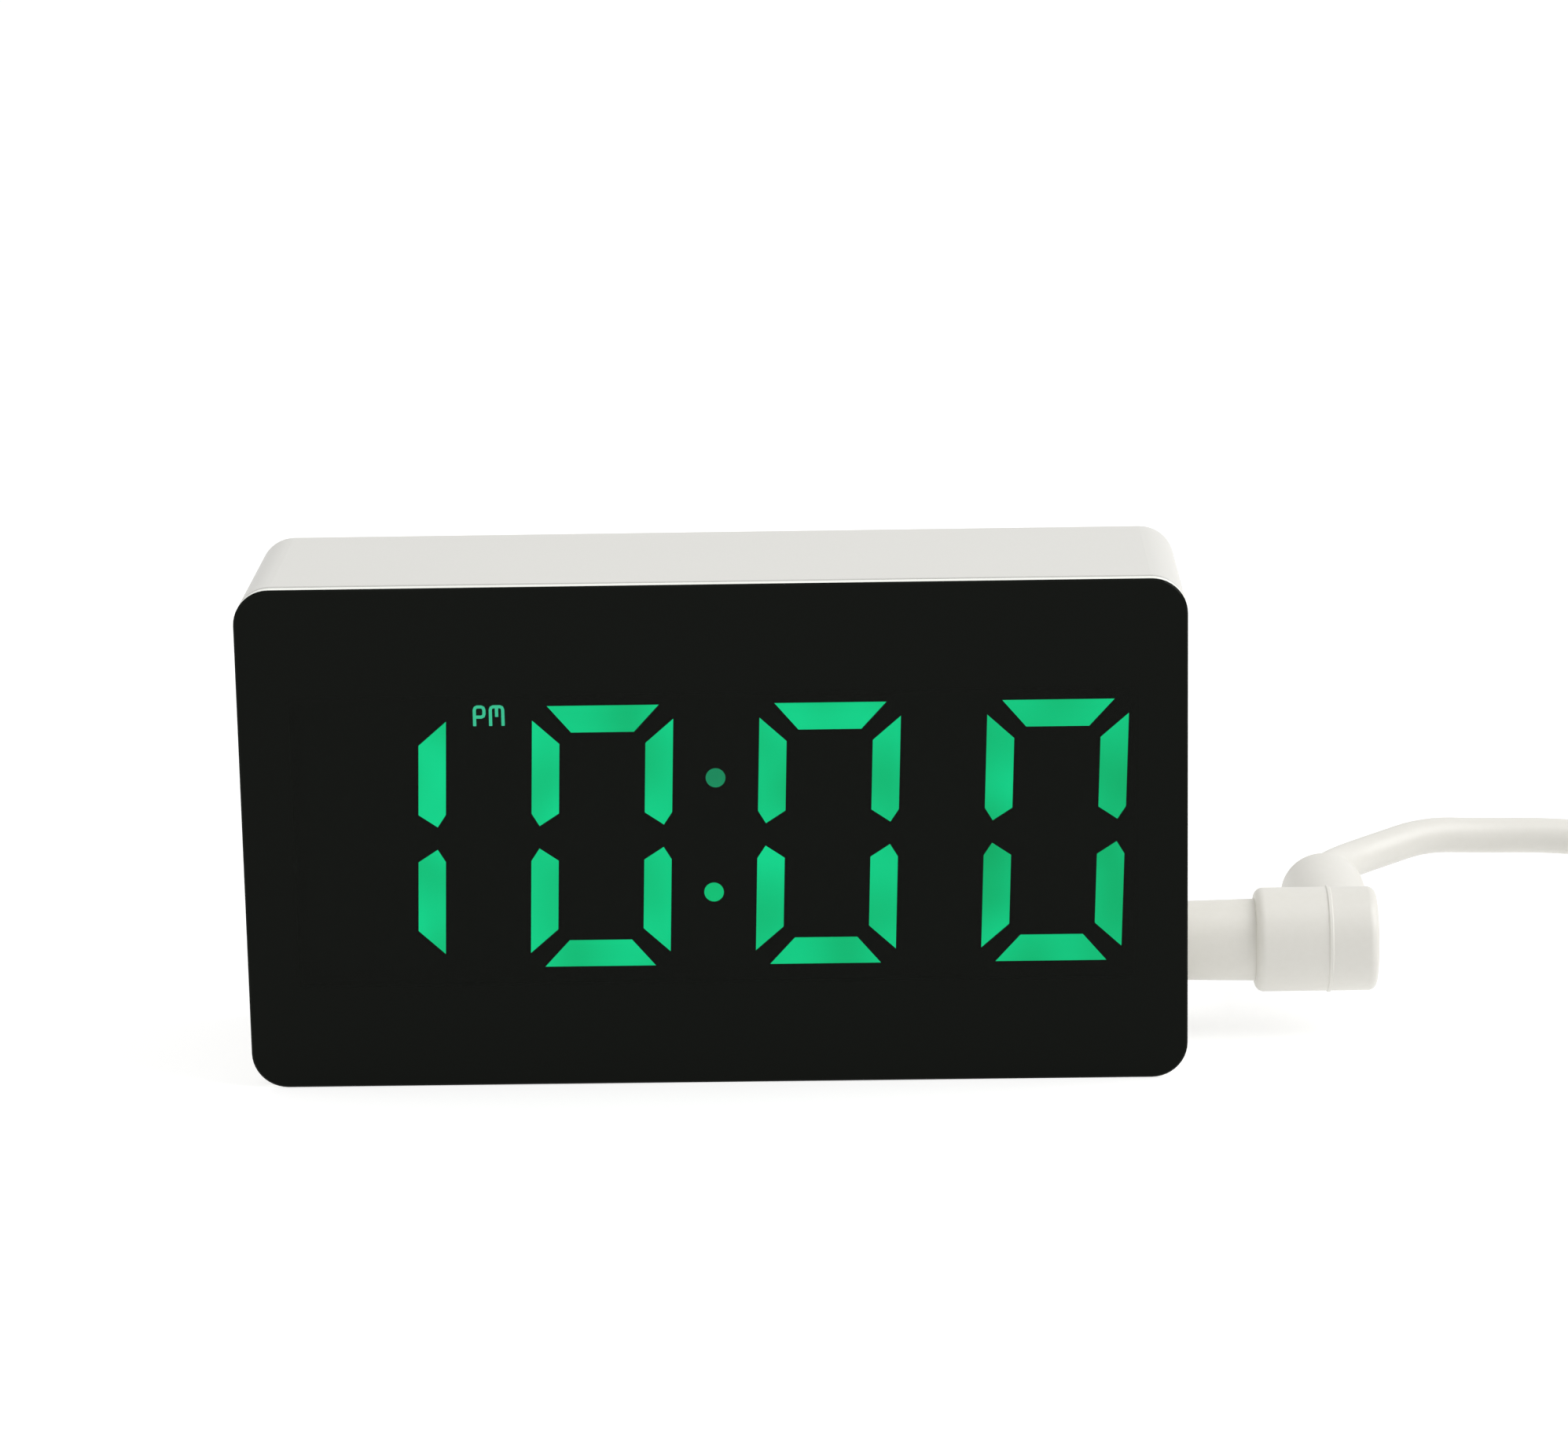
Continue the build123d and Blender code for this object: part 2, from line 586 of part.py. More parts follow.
def make_cover_screws():
    """Screws through the rear cover into the housing's corner bosses."""
    return Compound(children=[
        screw(spot, Y_BACK - COVER_SCREW_HEAD_HEIGHT, -1, COVER_SCREW_HEAD, COVER_SCREW_HEAD_HEIGHT,
              COVER_SCREW_SHANK, COVER_SCREW_LENGTH)
        for spot in BOSS_SPOTS])


def make_key_board_screws():
    """Screws through the key board into the posts of the rear cover."""
    return Compound(children=[
        screw((x, BUTTON_Z), Y_KEY_BOARD, 1, BOARD_SCREW_HEAD, BOARD_SCREW_HEAD_HEIGHT,
              BOARD_SCREW_SHANK, BOARD_SCREW_LENGTH)
        for x in KEY_POSTS])


def hook_outline():
    """Side view, in Y and Z, of a door hook: a leg behind the door and a toe under the cover."""
    toe_rear = Y_COVER - HOOK_UNDER
    toe_front = toe_rear - HOOK_THICKNESS
    toe_low = DOOR_LOW - HOOK_REACH
    leg_high = DOOR_LOW + HOOK_THICKNESS
    return Polygon((Y_DOOR, DOOR_LOW), (toe_rear, DOOR_LOW), (toe_rear, toe_low), (toe_front, toe_low),
                   (toe_front, leg_high), (Y_DOOR, leg_high), align=None)


def make_rear_cover():
    """White moulded back: cell bay, button holes, sound slots, screw seats and key-board posts."""
    cover = rear_prism(body_outline(WALL + COVER_CLEARANCE), Y_COVER, Y_BACK)
    bay = Pos(0, BAY_Z) * Rectangle(BAY_LENGTH + 2 * BAY_WALL, BAY_HEIGHT + 2 * BAY_WALL)
    cover += rear_prism(bay, Y_BAY, Y_COVER)
    for x in KEY_POSTS:
        cover += rear_prism(Pos(x, BUTTON_Z) * Circle(KEY_POST_DIAMETER / 2), Y_KEY_BOARD_REAR, Y_COVER)
    hollow = Pos(0, BAY_Z) * Rectangle(BAY_LENGTH, BAY_HEIGHT)
    cover -= rear_prism(hollow, Y_BAY + BAY_WALL, Y_BACK)
    recess = Pos(0, BAY_Z) * RectangleRounded(
        DOOR_WIDTH + 2 * DOOR_CLEARANCE, DOOR_HEIGHT + 2 * DOOR_CLEARANCE, DOOR_CORNER + DOOR_CLEARANCE)
    cover -= rear_prism(recess, Y_DOOR, Y_BACK)
    for i in range(CELL_COUNT - 1):
        middle = (CELL_SPOTS[i] + CELL_SPOTS[i + 1]) / 2
        ridge = Pos(0, middle) * Rectangle(CELL_LENGTH - CONTACT_WIDTH, CELL_GAP)
        cover += rear_prism(ridge, Y_BAY + BAY_WALL, Y_BAY + BAY_WALL + RIDGE_HEIGHT)
    for side, z in ((-1, CELL_SPOTS[0]), (CELL_TURNS[-1], CELL_SPOTS[-1])):
        x = side * (BAY_LENGTH / 2 - CONTACT_THICKNESS / 2)
        slot = Rectangle(CONTACT_THICKNESS + 2 * TAIL_CLEARANCE, TAIL_WIDTH + 2 * TAIL_CLEARANCE)
        cover -= rear_prism(Pos(x, z) * slot, Y_BAY, Y_BAY + BAY_WALL)
    hook_room = HOOK_WIDTH + 2 * DOOR_CLEARANCE
    hook_front = Y_COVER - HOOK_UNDER - HOOK_THICKNESS - 2 * HOOK_REACH
    notch_high = DOOR_LOW + DOOR_LAP + BAY_WALL
    leg_low = DOOR_LOW - DOOR_CLEARANCE
    toe_low = leg_low - HOOK_REACH
    for x in (-HOOK_X, HOOK_X):
        for low, y_rear in ((leg_low, Y_DOOR), (toe_low, Y_COVER)):
            notch = Pos(x, (low + notch_high) / 2) * Rectangle(hook_room, notch_high - low)
            cover -= rear_prism(notch, hook_front, y_rear)
    button_hole = RectangleRounded(
        BUTTON_WIDTH + 2 * BUTTON_CLEARANCE, BUTTON_HEIGHT + 2 * BUTTON_CLEARANCE,
        BUTTON_CORNER + BUTTON_CLEARANCE)
    for hole in at([(x, BUTTON_Z) for x in BUTTON_SPOTS], button_hole):
        cover -= rear_prism(hole, Y_COVER, Y_BACK)
    for i in range(SLOT_COUNT):
        z = BUZZER_Z + (i - (SLOT_COUNT - 1) / 2) * SLOT_PITCH
        cover -= rear_prism(Pos(BUZZER_X, z) * SlotOverall(SLOT_LENGTH, SLOT_WIDTH), Y_COVER, Y_BACK)
    for x, z in BOSS_SPOTS:
        seat = Pos(x, z) * Circle(COVER_SCREW_HEAD / 2 + SCREW_CLEARANCE)
        cover -= rear_prism(seat, Y_BACK - COVER_SCREW_HEAD_HEIGHT, Y_BACK)
        hole = Pos(x, z) * Circle(COVER_SCREW_SHANK / 2 + SCREW_HOLE_CLEARANCE)
        cover -= rear_prism(hole, Y_COVER, Y_BACK)
    pilot = Circle(BOARD_SCREW_SHANK / 2 + SCREW_CLEARANCE)
    for hole in at([(x, BUTTON_Z) for x in KEY_POSTS], pilot):
        cover -= rear_prism(hole, Y_KEY_BOARD_REAR, Y_KEY_BOARD_REAR + BOARD_SCREW_LENGTH)
    return cover


def make_battery_door():
    """Flush door with two hooks along its lower edge, a latch leg at its top and grip grooves."""
    outline = Pos(0, BAY_Z) * RectangleRounded(DOOR_WIDTH, DOOR_HEIGHT, DOOR_CORNER)
    door = rear_prism(outline, Y_DOOR, Y_BACK)
    for x in (-HOOK_X, HOOK_X):
        door += across(hook_outline(), x - HOOK_WIDTH / 2, x + HOOK_WIDTH / 2)
    leg_top = BAY_Z + BAY_HEIGHT / 2 - LATCH_CLEARANCE
    leg = Pos(0, leg_top - LATCH_THICKNESS / 2) * Rectangle(LATCH_WIDTH, LATCH_THICKNESS)
    door += rear_prism(leg, Y_DOOR - LATCH_LENGTH, Y_DOOR)
    for i in range(GRIP_COUNT):
        z = DOOR_LOW + DOOR_HEIGHT - GRIP_DROP - i * GRIP_PITCH
        door -= rear_prism(Pos(0, z) * SlotOverall(GRIP_WIDTH, GRIP_GROOVE), Y_BACK - GRIP_DEPTH, Y_BACK)
    return door


def make_cells():
    """Three slim cells side by side, turned head to tail."""
    cells = []
    for z, turn in zip(CELL_SPOTS, CELL_TURNS):
        nub_end = turn * (BAY_LENGTH / 2 - PLATE_SPACE)
        shoulder = nub_end - turn * CELL_NUB_LENGTH
        base = nub_end - turn * CELL_LENGTH
        axis = Plane(origin=(base, CELL_Y, z), x_dir=(0, 1, 0), z_dir=(turn, 0, 0))
        can = extrude(axis * Circle(CELL_DIAMETER / 2), amount=abs(shoulder - base))
        can = chamfer(can.edges(), CELL_EDGE)
        nub_plane = axis.offset(abs(shoulder - base))
        nub = extrude(nub_plane * Circle(CELL_NUB_DIAMETER / 2), amount=CELL_NUB_LENGTH)
        cells.append((can + nub).solid())
    return Compound(children=cells)


def contact_plate(side, z_low, z_high, tail):
    """Thin plate on an end wall of the bay, behind one or two cells, some with a tail to the board."""
    outline = Pos(CELL_Y, (z_low + z_high) / 2) * Rectangle(CONTACT_WIDTH, CONTACT_WIDTH + z_high - z_low)
    if tail:
        length = CELL_Y - Y_BOARD_REAR
        outline += Pos(Y_BOARD_REAR + length / 2, z_low) * Rectangle(length, TAIL_WIDTH)
    x_wall = side * BAY_LENGTH / 2
    x_face = x_wall - side * CONTACT_THICKNESS
    return across(outline, min(x_wall, x_face), max(x_wall, x_face)).solid()


def make_contact_plates():
    """Plates that join the cells in a row: one tailed at each end of the row, and a bridge between cells."""
    plates = [contact_plate(-1, CELL_SPOTS[0], CELL_SPOTS[0], True)]
    for i in range(CELL_COUNT - 1):
        plates.append(contact_plate(CELL_TURNS[i], CELL_SPOTS[i], CELL_SPOTS[i + 1], False))
    plates.append(contact_plate(CELL_TURNS[-1], CELL_SPOTS[-1], CELL_SPOTS[-1], True))
    return Compound(children=plates)


def biarc(start, start_way, end, end_way):
    """Two tangent arcs that leave one point along its direction and reach the next along its own."""
    chord = end - start
    both = start_way + end_way
    square = both.dot(both) - 4
    linear = -2 * chord.dot(both)
    reach = (-linear - math.sqrt(linear ** 2 - 4 * square * chord.dot(chord))) / (2 * square)
    first = start + start_way * reach
    second = end - end_way * reach
    joint = (first + second) / 2
    return [TangentArc(start, joint, tangent=start_way), TangentArc(joint, end, tangent=second - first)]


def wound_edges(points, ways):
    """Arcs through a list of points with a direction at each."""
    edges = []
    for i in range(len(points) - 1):
        edges += biarc(points[i], ways[i], points[i + 1], ways[i + 1])
    return edges


def tube(path, section):
    """Section swept along a path from its start."""
    start = Plane(origin=path @ 0, z_dir=path % 0)
    return sweep(start * section, path=path)


def least_gap(path, diameter, turn_length):
    """Smallest clear distance between two stretches of a wound tube, half a turn or more apart."""
    count = int(path.length / (diameter / 3))
    points = [path @ (i / count) for i in range(count + 1)]
    skip = int(turn_length / 2 / (path.length / count))
    gaps = [(points[i] - points[j]).length
            for i in range(0, count + 1, 2) for j in range(i + skip, count + 1)]
    return min(gaps) - diameter


def spring_path(x_seat, side, z):
    """Round spring between a contact plate and the flat end of a cell."""
    radius = (SPRING_DIAMETER - SPRING_WIRE) / 2
    length = SPRING_SPACE - CONTACT_THICKNESS - SPRING_WIRE - 2 * SPRING_SEAT
    stations = SPRING_TURNS * 4
    points = []
    ways = []
    for i in range(stations + 1):
        angle = math.radians(90 * i)
        along = side * (SPRING_WIRE / 2 + SPRING_SEAT + length * i / stations)
        points.append(Vector(x_seat - along, CELL_Y + radius * math.cos(angle), z + radius * math.sin(angle)))
        rise = -side * length / SPRING_TURNS / (2 * math.pi)
        ways.append(Vector(rise, -radius * math.sin(angle), radius * math.cos(angle)).normalized())
    return Wire(wound_edges(points, ways))


def make_springs():
    """Coil springs that press on the flat end of each cell."""
    springs = []
    for z, turn in zip(CELL_SPOTS, CELL_TURNS):
        x_seat = -turn * (BAY_LENGTH / 2 - CONTACT_THICKNESS)
        path = spring_path(x_seat, -turn, z)
        springs.append(tube(path, RegularPolygon(SPRING_WIRE / 2, SPRING_SIDES)).solid())
    print("spring gap", round(least_gap(path, SPRING_WIRE, math.pi * SPRING_DIAMETER), 2))
    return Compound(children=springs)


def make_button(x):
    """One push button: cap with a dished face, inner flange and stem."""
    cap = RectangleRounded(BUTTON_WIDTH, BUTTON_HEIGHT, BUTTON_CORNER)
    button = rear_prism(Pos(x, BUTTON_Z) * cap, Y_FLANGE_REAR, Y_BACK + BUTTON_PROUD)
    button = fillet(button.faces().sort_by(Axis.Y)[-1].edges(), BUTTON_EDGE)
    flange = Rectangle(BUTTON_WIDTH + 2 * FLANGE_LIP, BUTTON_HEIGHT + 2 * FLANGE_LIP)
    button += rear_prism(Pos(x, BUTTON_Z) * flange, Y_FLANGE_REAR - BUTTON_FLANGE, Y_FLANGE_REAR)
    stem = Circle(STEM_DIAMETER / 2)
    button += rear_prism(Pos(x, BUTTON_Z) * stem, Y_STEM, Y_FLANGE_REAR - BUTTON_FLANGE)
    half_chord = BUTTON_HEIGHT / 2 - BUTTON_EDGE
    dish_radius = (half_chord ** 2 + BUTTON_DISH ** 2) / (2 * BUTTON_DISH)
    dish = Pos(Y_BACK + BUTTON_PROUD + dish_radius - BUTTON_DISH, BUTTON_Z) * Circle(dish_radius)
    half_dish = BUTTON_WIDTH / 2 - BUTTON_CORNER
    button -= across(dish, x - half_dish, x + half_dish)
    return button


def make_plunger(x):
    """Moving pin of one switch, under the stem of its button."""
    pin = Pos(x, BUTTON_Z) * Circle(PLUNGER_DIAMETER / 2)
    return rear_prism(pin, Y_SWITCH_TOP - PLUNGER_SINK, Y_STEM)


def make_switches():
    """Bodies of the four switches, each bored for its pin."""
    bodies = []
    for x in BUTTON_SPOTS:
        square = Pos(x, BUTTON_Z) * Rectangle(SWITCH_SIZE, SWITCH_SIZE)
        body = rear_prism(square, Y_KEY_BOARD_REAR, Y_SWITCH_TOP)
        bore = Pos(x, BUTTON_Z) * Circle(PLUNGER_DIAMETER / 2 + PLUNGER_CLEARANCE)
        depth = PLUNGER_SINK + BUTTON_TRAVEL + PLUNGER_CLEARANCE
        bodies.append((body - rear_prism(bore, Y_SWITCH_TOP - depth, Y_SWITCH_TOP)).solid())
    return Compound(children=bodies)


def make_key_board():
    """Narrow board that carries the switches, screwed to the rear cover."""
    length = BUTTON_SPOTS[-1] - BUTTON_SPOTS[0] + 2 * KEY_BOARD_OVERHANG
    outline = Pos(0, BUTTON_Z) * Rectangle(length, KEY_BOARD_HEIGHT)
    holes = at([(x, BUTTON_Z) for x in KEY_POSTS], Circle(BOARD_SCREW_SHANK / 2 + SCREW_HOLE_CLEARANCE))
    return rear_prism(outline - holes, Y_KEY_BOARD, Y_KEY_BOARD_REAR)


def make_board_header():
    """Row of pins that joins the key board to the main board."""
    header = rear_prism(Pos(HEADER_X, HEADER_Z) * Rectangle(HEADER_LENGTH, HEADER_BASE),
                        Y_BOARD_REAR, Y_BOARD_REAR + HEADER_BASE)
    for i in range(HEADER_PINS):
        x = HEADER_X + (i - (HEADER_PINS - 1) / 2) * HEADER_PITCH
        header += rear_prism(Pos(x, HEADER_Z) * Rectangle(HEADER_PIN, HEADER_PIN), Y_BOARD_REAR, Y_KEY_BOARD)
    return header


def make_buzzer():
    """Round sounder with a port in its face, behind the sound slots."""
    case = rear_prism(Pos(BUZZER_X, BUZZER_Z) * Circle(BUZZER_DIAMETER / 2),
                      Y_BOARD_REAR, Y_BOARD_REAR + BUZZER_HEIGHT)
    port = Pos(BUZZER_X, BUZZER_Z) * Circle(BUZZER_PORT / 2)
    return case - rear_prism(port, Y_BOARD_REAR + BUZZER_HEIGHT / 2, Y_BOARD_REAR + BUZZER_HEIGHT)


def make_controller():
    """Clock controller: flat black package with leads along its two long sides."""
    spot = Pos(CONTROLLER_X, CONTROLLER_Z)
    case = rear_prism(spot * Rectangle(CONTROLLER_LENGTH, CONTROLLER_WIDTH),
                      Y_BOARD_REAR + LEAD_THICKNESS, Y_BOARD_REAR + CONTROLLER_HEIGHT)
    pitch = CONTROLLER_LENGTH / LEAD_COUNT
    for i in range(LEAD_COUNT):
        x = CONTROLLER_X + (i - (LEAD_COUNT - 1) / 2) * pitch
        lead = Pos(x, CONTROLLER_Z) * Rectangle(LEAD_WIDTH, CONTROLLER_WIDTH + 2 * LEAD_REACH)
        case += rear_prism(lead, Y_BOARD_REAR, Y_BOARD_REAR + LEAD_THICKNESS)
    return case


def make_crystal():
    """Timing crystal, a small metal can lying on the board."""
    axis = Pos(Y_BOARD_REAR + CRYSTAL_DIAMETER / 2, CRYSTAL_Z) * Circle(CRYSTAL_DIAMETER / 2)
    can = across(axis, CONTROLLER_X - CRYSTAL_LENGTH / 2, CONTROLLER_X + CRYSTAL_LENGTH / 2)
    return chamfer(can.edges(), CRYSTAL_EDGE)


def make_capacitor():
    """Smoothing capacitor standing on the board."""
    can = rear_prism(Pos(CONTROLLER_X, CAPACITOR_Z) * Circle(CAPACITOR_DIAMETER / 2),
                     Y_BOARD_REAR, Y_BOARD_REAR + CAPACITOR_HEIGHT)
    return chamfer(can.faces().sort_by(Axis.Y)[-1].edges(), CAPACITOR_EDGE)


def make_power_socket():
    """Socket block on the main board, its bore behind the hole in the right wall."""
    block = Pos(JACK_Y, JACK_Z) * Rectangle(JACK_SIZE, JACK_SIZE)
    jack = across(block, JACK_X - JACK_LENGTH, JACK_X)
    bore = Pos(JACK_Y, JACK_Z) * Circle(JACK_BORE / 2)
    jack -= across(bore, JACK_X - JACK_BORE_DEPTH, JACK_X)
    pin = Pos(JACK_Y, JACK_Z) * Circle(JACK_PIN / 2)
    return jack + across(pin, JACK_X - JACK_BORE_DEPTH, JACK_X - JACK_PIN_SHORT)


def make_plug_overmould():
    """White right-angle moulding: drafted collar, thicker body, and an arm blended in to the rear."""
    body_start = PLUG_X + COLLAR_LENGTH
    ring = Pos(JACK_Y, JACK_Z)
    wall_plane = Plane(origin=(PLUG_X, JACK_Y, JACK_Z), x_dir=(0, 1, 0), z_dir=(1, 0, 0))
    collar_ends = [wall_plane * Circle(COLLAR_END_DIAMETER / 2),
                   wall_plane.offset(COLLAR_LENGTH + PLUG_EDGE) * Circle(COLLAR_DIAMETER / 2)]
    collar = loft(collar_ends)
    body = across(ring * Circle(PLUG_BODY_DIAMETER / 2), body_start, PLUG_END)
    body = fillet(body.edges().filter_by(GeomType.CIRCLE), PLUG_EDGE)
    arm_plane = Plane(origin=(ARM_X, JACK_Y, JACK_Z), x_dir=(1, 0, 0), z_dir=(0, 1, 0))
    arm = extrude(arm_plane * Circle(ARM_DIAMETER / 2), amount=ARM_REACH)
    arm = fillet(arm.faces().sort_by(Axis.Y)[-1].edges(), ARM_EDGE)
    seam_outline = ring * Circle(PLUG_BODY_DIAMETER / 2 + SEAM_HEIGHT)
    seam_x = PLUG_END - SEAM_SETBACK
    seam = across(seam_outline, seam_x - SEAM_WIDTH / 2, seam_x + SEAM_WIDTH / 2)
    seam = chamfer(seam.edges().filter_by(GeomType.CIRCLE), SEAM_HEIGHT)
    elbow = body + arm
    elbow = fillet(elbow.edges().filter_by(GeomType.BSPLINE), ARM_BLEND)
    return collar + elbow + seam


def make_plug_barrel():
    """Plated sleeve of the plug, bored for the socket's pin."""
    ring = Pos(JACK_Y, JACK_Z) * (Circle(BARREL_DIAMETER / 2) - Circle(BARREL_BORE / 2))
    return across(ring, PLUG_X - BARREL_LENGTH, PLUG_X)


def route_path(points, name):
    """Straight runs joined by the largest arcs that they allow."""
    radii = []
    for before, corner, after in zip(points, points[1:], points[2:]):
        arrive = corner - before
        leave = after - corner
        half_turn = math.radians(arrive.get_angle(leave)) / 2
        radii.append(ARC_SHARE * min(arrive.length, leave.length) / math.tan(half_turn))
    print(name, "radii", [round(radius, 1) for radius in radii])
    return FilletPolyline(*points, radius=radii)


def make_lead(points, name):
    """Round lead along a route, with its volume compared with section times length."""
    path = route_path(points, name)
    lead = tube(path, Circle(CORD_DIAMETER / 2))
    expected = math.pi * CORD_DIAMETER ** 2 / 4 * path.length
    print(name, "length", round(path.length, 1), "volume ratio", round(lead.volume / expected, 4))
    return lead


def lead_points():
    """Route of the lead from the plug, with its end laid on the height of the coil."""
    points = [CORD_EXIT + Vector(*step) for step in CORD_ROUTE]
    return points[:-2] + [Vector(point.X, point.Y, COIL_FLOOR) for point in points[-2:]]


def coil_stations():
    """Points and directions of the coil at each quarter turn: in on the floor, out on the layer above."""
    start = lead_points()[-1] + Vector(CORD_DIAMETER, 0, 0)
    centre = start - Vector(0, COIL_RADIUS, 0)
    count = COIL_TURNS * 4
    middle = count // 2
    points = []
    ways = []
    for i in range(count + 1):
        angle = math.radians(90 - 90 * i)
        inward = COIL_PITCH * min(i, count - i) / 4
        radius = COIL_RADIUS - inward
        climb = COIL_STEP * min(max((i - middle + 1) / 2, 0), 1)
        points.append(centre + Vector(radius * math.cos(angle), radius * math.sin(angle), climb))
        drift = 0.0 if i in (0, middle, count) else math.copysign(COIL_PITCH, i - middle) / (2 * math.pi)
        rise = COIL_RISE_EASE * COIL_STEP / math.pi if i == middle else 0.0
        way = Vector(drift * math.cos(angle) + radius * math.sin(angle),
                     drift * math.sin(angle) - radius * math.cos(angle), rise)
        ways.append(way.normalized())
    return points, ways


def make_coil():
    """Put-away length of the lead as one round coil in two layers, straight for a diameter at its ends."""
    points, ways = coil_stations()
    straight = Vector(CORD_DIAMETER, 0, 0)
    first = Line(points[0] - straight, points[0])
    last = Line(points[-1], points[-1] + straight)
    path = Wire([first] + wound_edges(points, ways) + [last])
    coil = tube(path, RegularPolygon(CORD_DIAMETER / 2, COIL_SIDES))
    gap = least_gap(path, CORD_DIAMETER, 2 * math.pi * (COIL_RADIUS - COIL_PITCH * COIL_TURNS / 2))
    print("coil length", round(path.length, 1), "least gap", round(gap, 2))
    return coil


def tail_points():
    """Route of the tail from the coil to the USB plug, which lies on the floor."""
    start = coil_stations()[0][-1] + Vector(CORD_DIAMETER, 0, 0)
    points = [start + Vector(*step) for step in TAIL_ROUTE]
    return points[:-2] + [Vector(point.X, point.Y, USB_BODY_HEIGHT / 2) for point in points[-2:]]


def make_tie():
    """Flat strip closed round the bundle on the right of the coil."""
    points, _ = coil_stations()
    centre = points[0] - Vector(0, COIL_RADIUS, 0)
    outer = COIL_RADIUS - COIL_PITCH / 4 + CORD_DIAMETER / 2
    inner = COIL_RADIUS - COIL_PITCH * (COIL_TURNS / 2 - 0.25) - CORD_DIAMETER / 2
    room = TIE_CLEARANCE
    wide = outer - inner + 2 * room
    high = COIL_STEP + CORD_DIAMETER + 2 * room
    rounding = CORD_DIAMETER / 4
    hole = RectangleRounded(wide, high, rounding)
    strip = RectangleRounded(wide + 2 * TIE_THICKNESS, high + 2 * TIE_THICKNESS, rounding + TIE_THICKNESS)
    middle = Vector(centre.X + (outer + inner) / 2, centre.Y + TIE_WIDTH / 2, COIL_FLOOR + COIL_STEP / 2)
    band = Plane(origin=middle, x_dir=(1, 0, 0), z_dir=(0, -1, 0))
    return extrude(band * (strip - hole), amount=TIE_WIDTH)


def usb_origin():
    """Rear end of the USB plug's strain relief."""
    return tail_points()[-1]


def make_usb_overmould():
    """Rounded white grip of the USB plug with a tapered strain relief."""
    start = usb_origin()
    relief_plane = Plane(origin=start, x_dir=(0, 1, 0), z_dir=(1, 0, 0))
    narrow = relief_plane * Circle(CORD_DIAMETER / 2 + USB_RELIEF_LIP)
    broad = relief_plane.offset(USB_RELIEF_LENGTH) * Circle(USB_RELIEF_DIAMETER / 2)
    relief = loft([narrow, broad])
    grip = extrude(relief_plane.offset(USB_RELIEF_LENGTH) * RectangleRounded(
        USB_BODY_WIDTH, USB_BODY_HEIGHT, USB_BODY_EDGE), amount=USB_BODY_LENGTH)
    grip = fillet(grip.faces().sort_by(Axis.X)[0].edges(), USB_BODY_EDGE / 2)
    return relief + grip


def usb_plane():
    """Front face of the USB grip, where the metal shell starts."""
    start = usb_origin()
    x = start.X + USB_RELIEF_LENGTH + USB_BODY_LENGTH
    return Plane(origin=(x, start.Y, start.Z), x_dir=(0, 1, 0), z_dir=(1, 0, 0))


def make_usb_shell():
    """Folded metal shell of the USB plug with its two pairs of square windows."""
    face = usb_plane()
    inside = Rectangle(USB_SHELL_WIDTH - 2 * USB_SHELL_WALL, USB_SHELL_HEIGHT - 2 * USB_SHELL_WALL)
    shell = extrude(face * (Rectangle(USB_SHELL_WIDTH, USB_SHELL_HEIGHT) - inside), amount=USB_SHELL_LENGTH)
    for y in (-USB_WINDOW_Y, USB_WINDOW_Y):
        centre = face.origin + Vector(USB_SHELL_LENGTH - USB_WINDOW_X, y, 0)
        shell -= Pos(centre) * Box(USB_WINDOW, USB_WINDOW, 2 * USB_SHELL_HEIGHT)
    return shell


def make_usb_tongue():
    """Insulating tongue in the lower half of the shell."""
    face = usb_plane()
    width = USB_SHELL_WIDTH - 2 * USB_SHELL_WALL
    low = -USB_SHELL_HEIGHT / 2 + USB_SHELL_WALL + USB_TONGUE_HEIGHT / 2
    return extrude(face * (Pos(0, low) * Rectangle(width, USB_TONGUE_HEIGHT)),
                   amount=USB_SHELL_LENGTH - USB_TONGUE_SHORT)


def make_usb_contacts():
    """Four gold strips on the tongue."""
    face = usb_plane()
    top = face.origin.Z - USB_SHELL_HEIGHT / 2 + USB_SHELL_WALL + USB_TONGUE_HEIGHT
    x = face.origin.X + USB_SHELL_LENGTH - 2 * USB_TONGUE_SHORT - USB_CONTACT_LENGTH / 2
    strips = []
    for i in range(USB_CONTACT_COUNT):
        y = face.origin.Y + (i - (USB_CONTACT_COUNT - 1) / 2) * USB_CONTACT_PITCH
        strip = Box(USB_CONTACT_LENGTH, USB_CONTACT_WIDTH, USB_CONTACT_HEIGHT)
        strips.append((Pos(x, y, top + USB_CONTACT_HEIGHT / 2) * strip).solid())
    return Compound(children=strips)


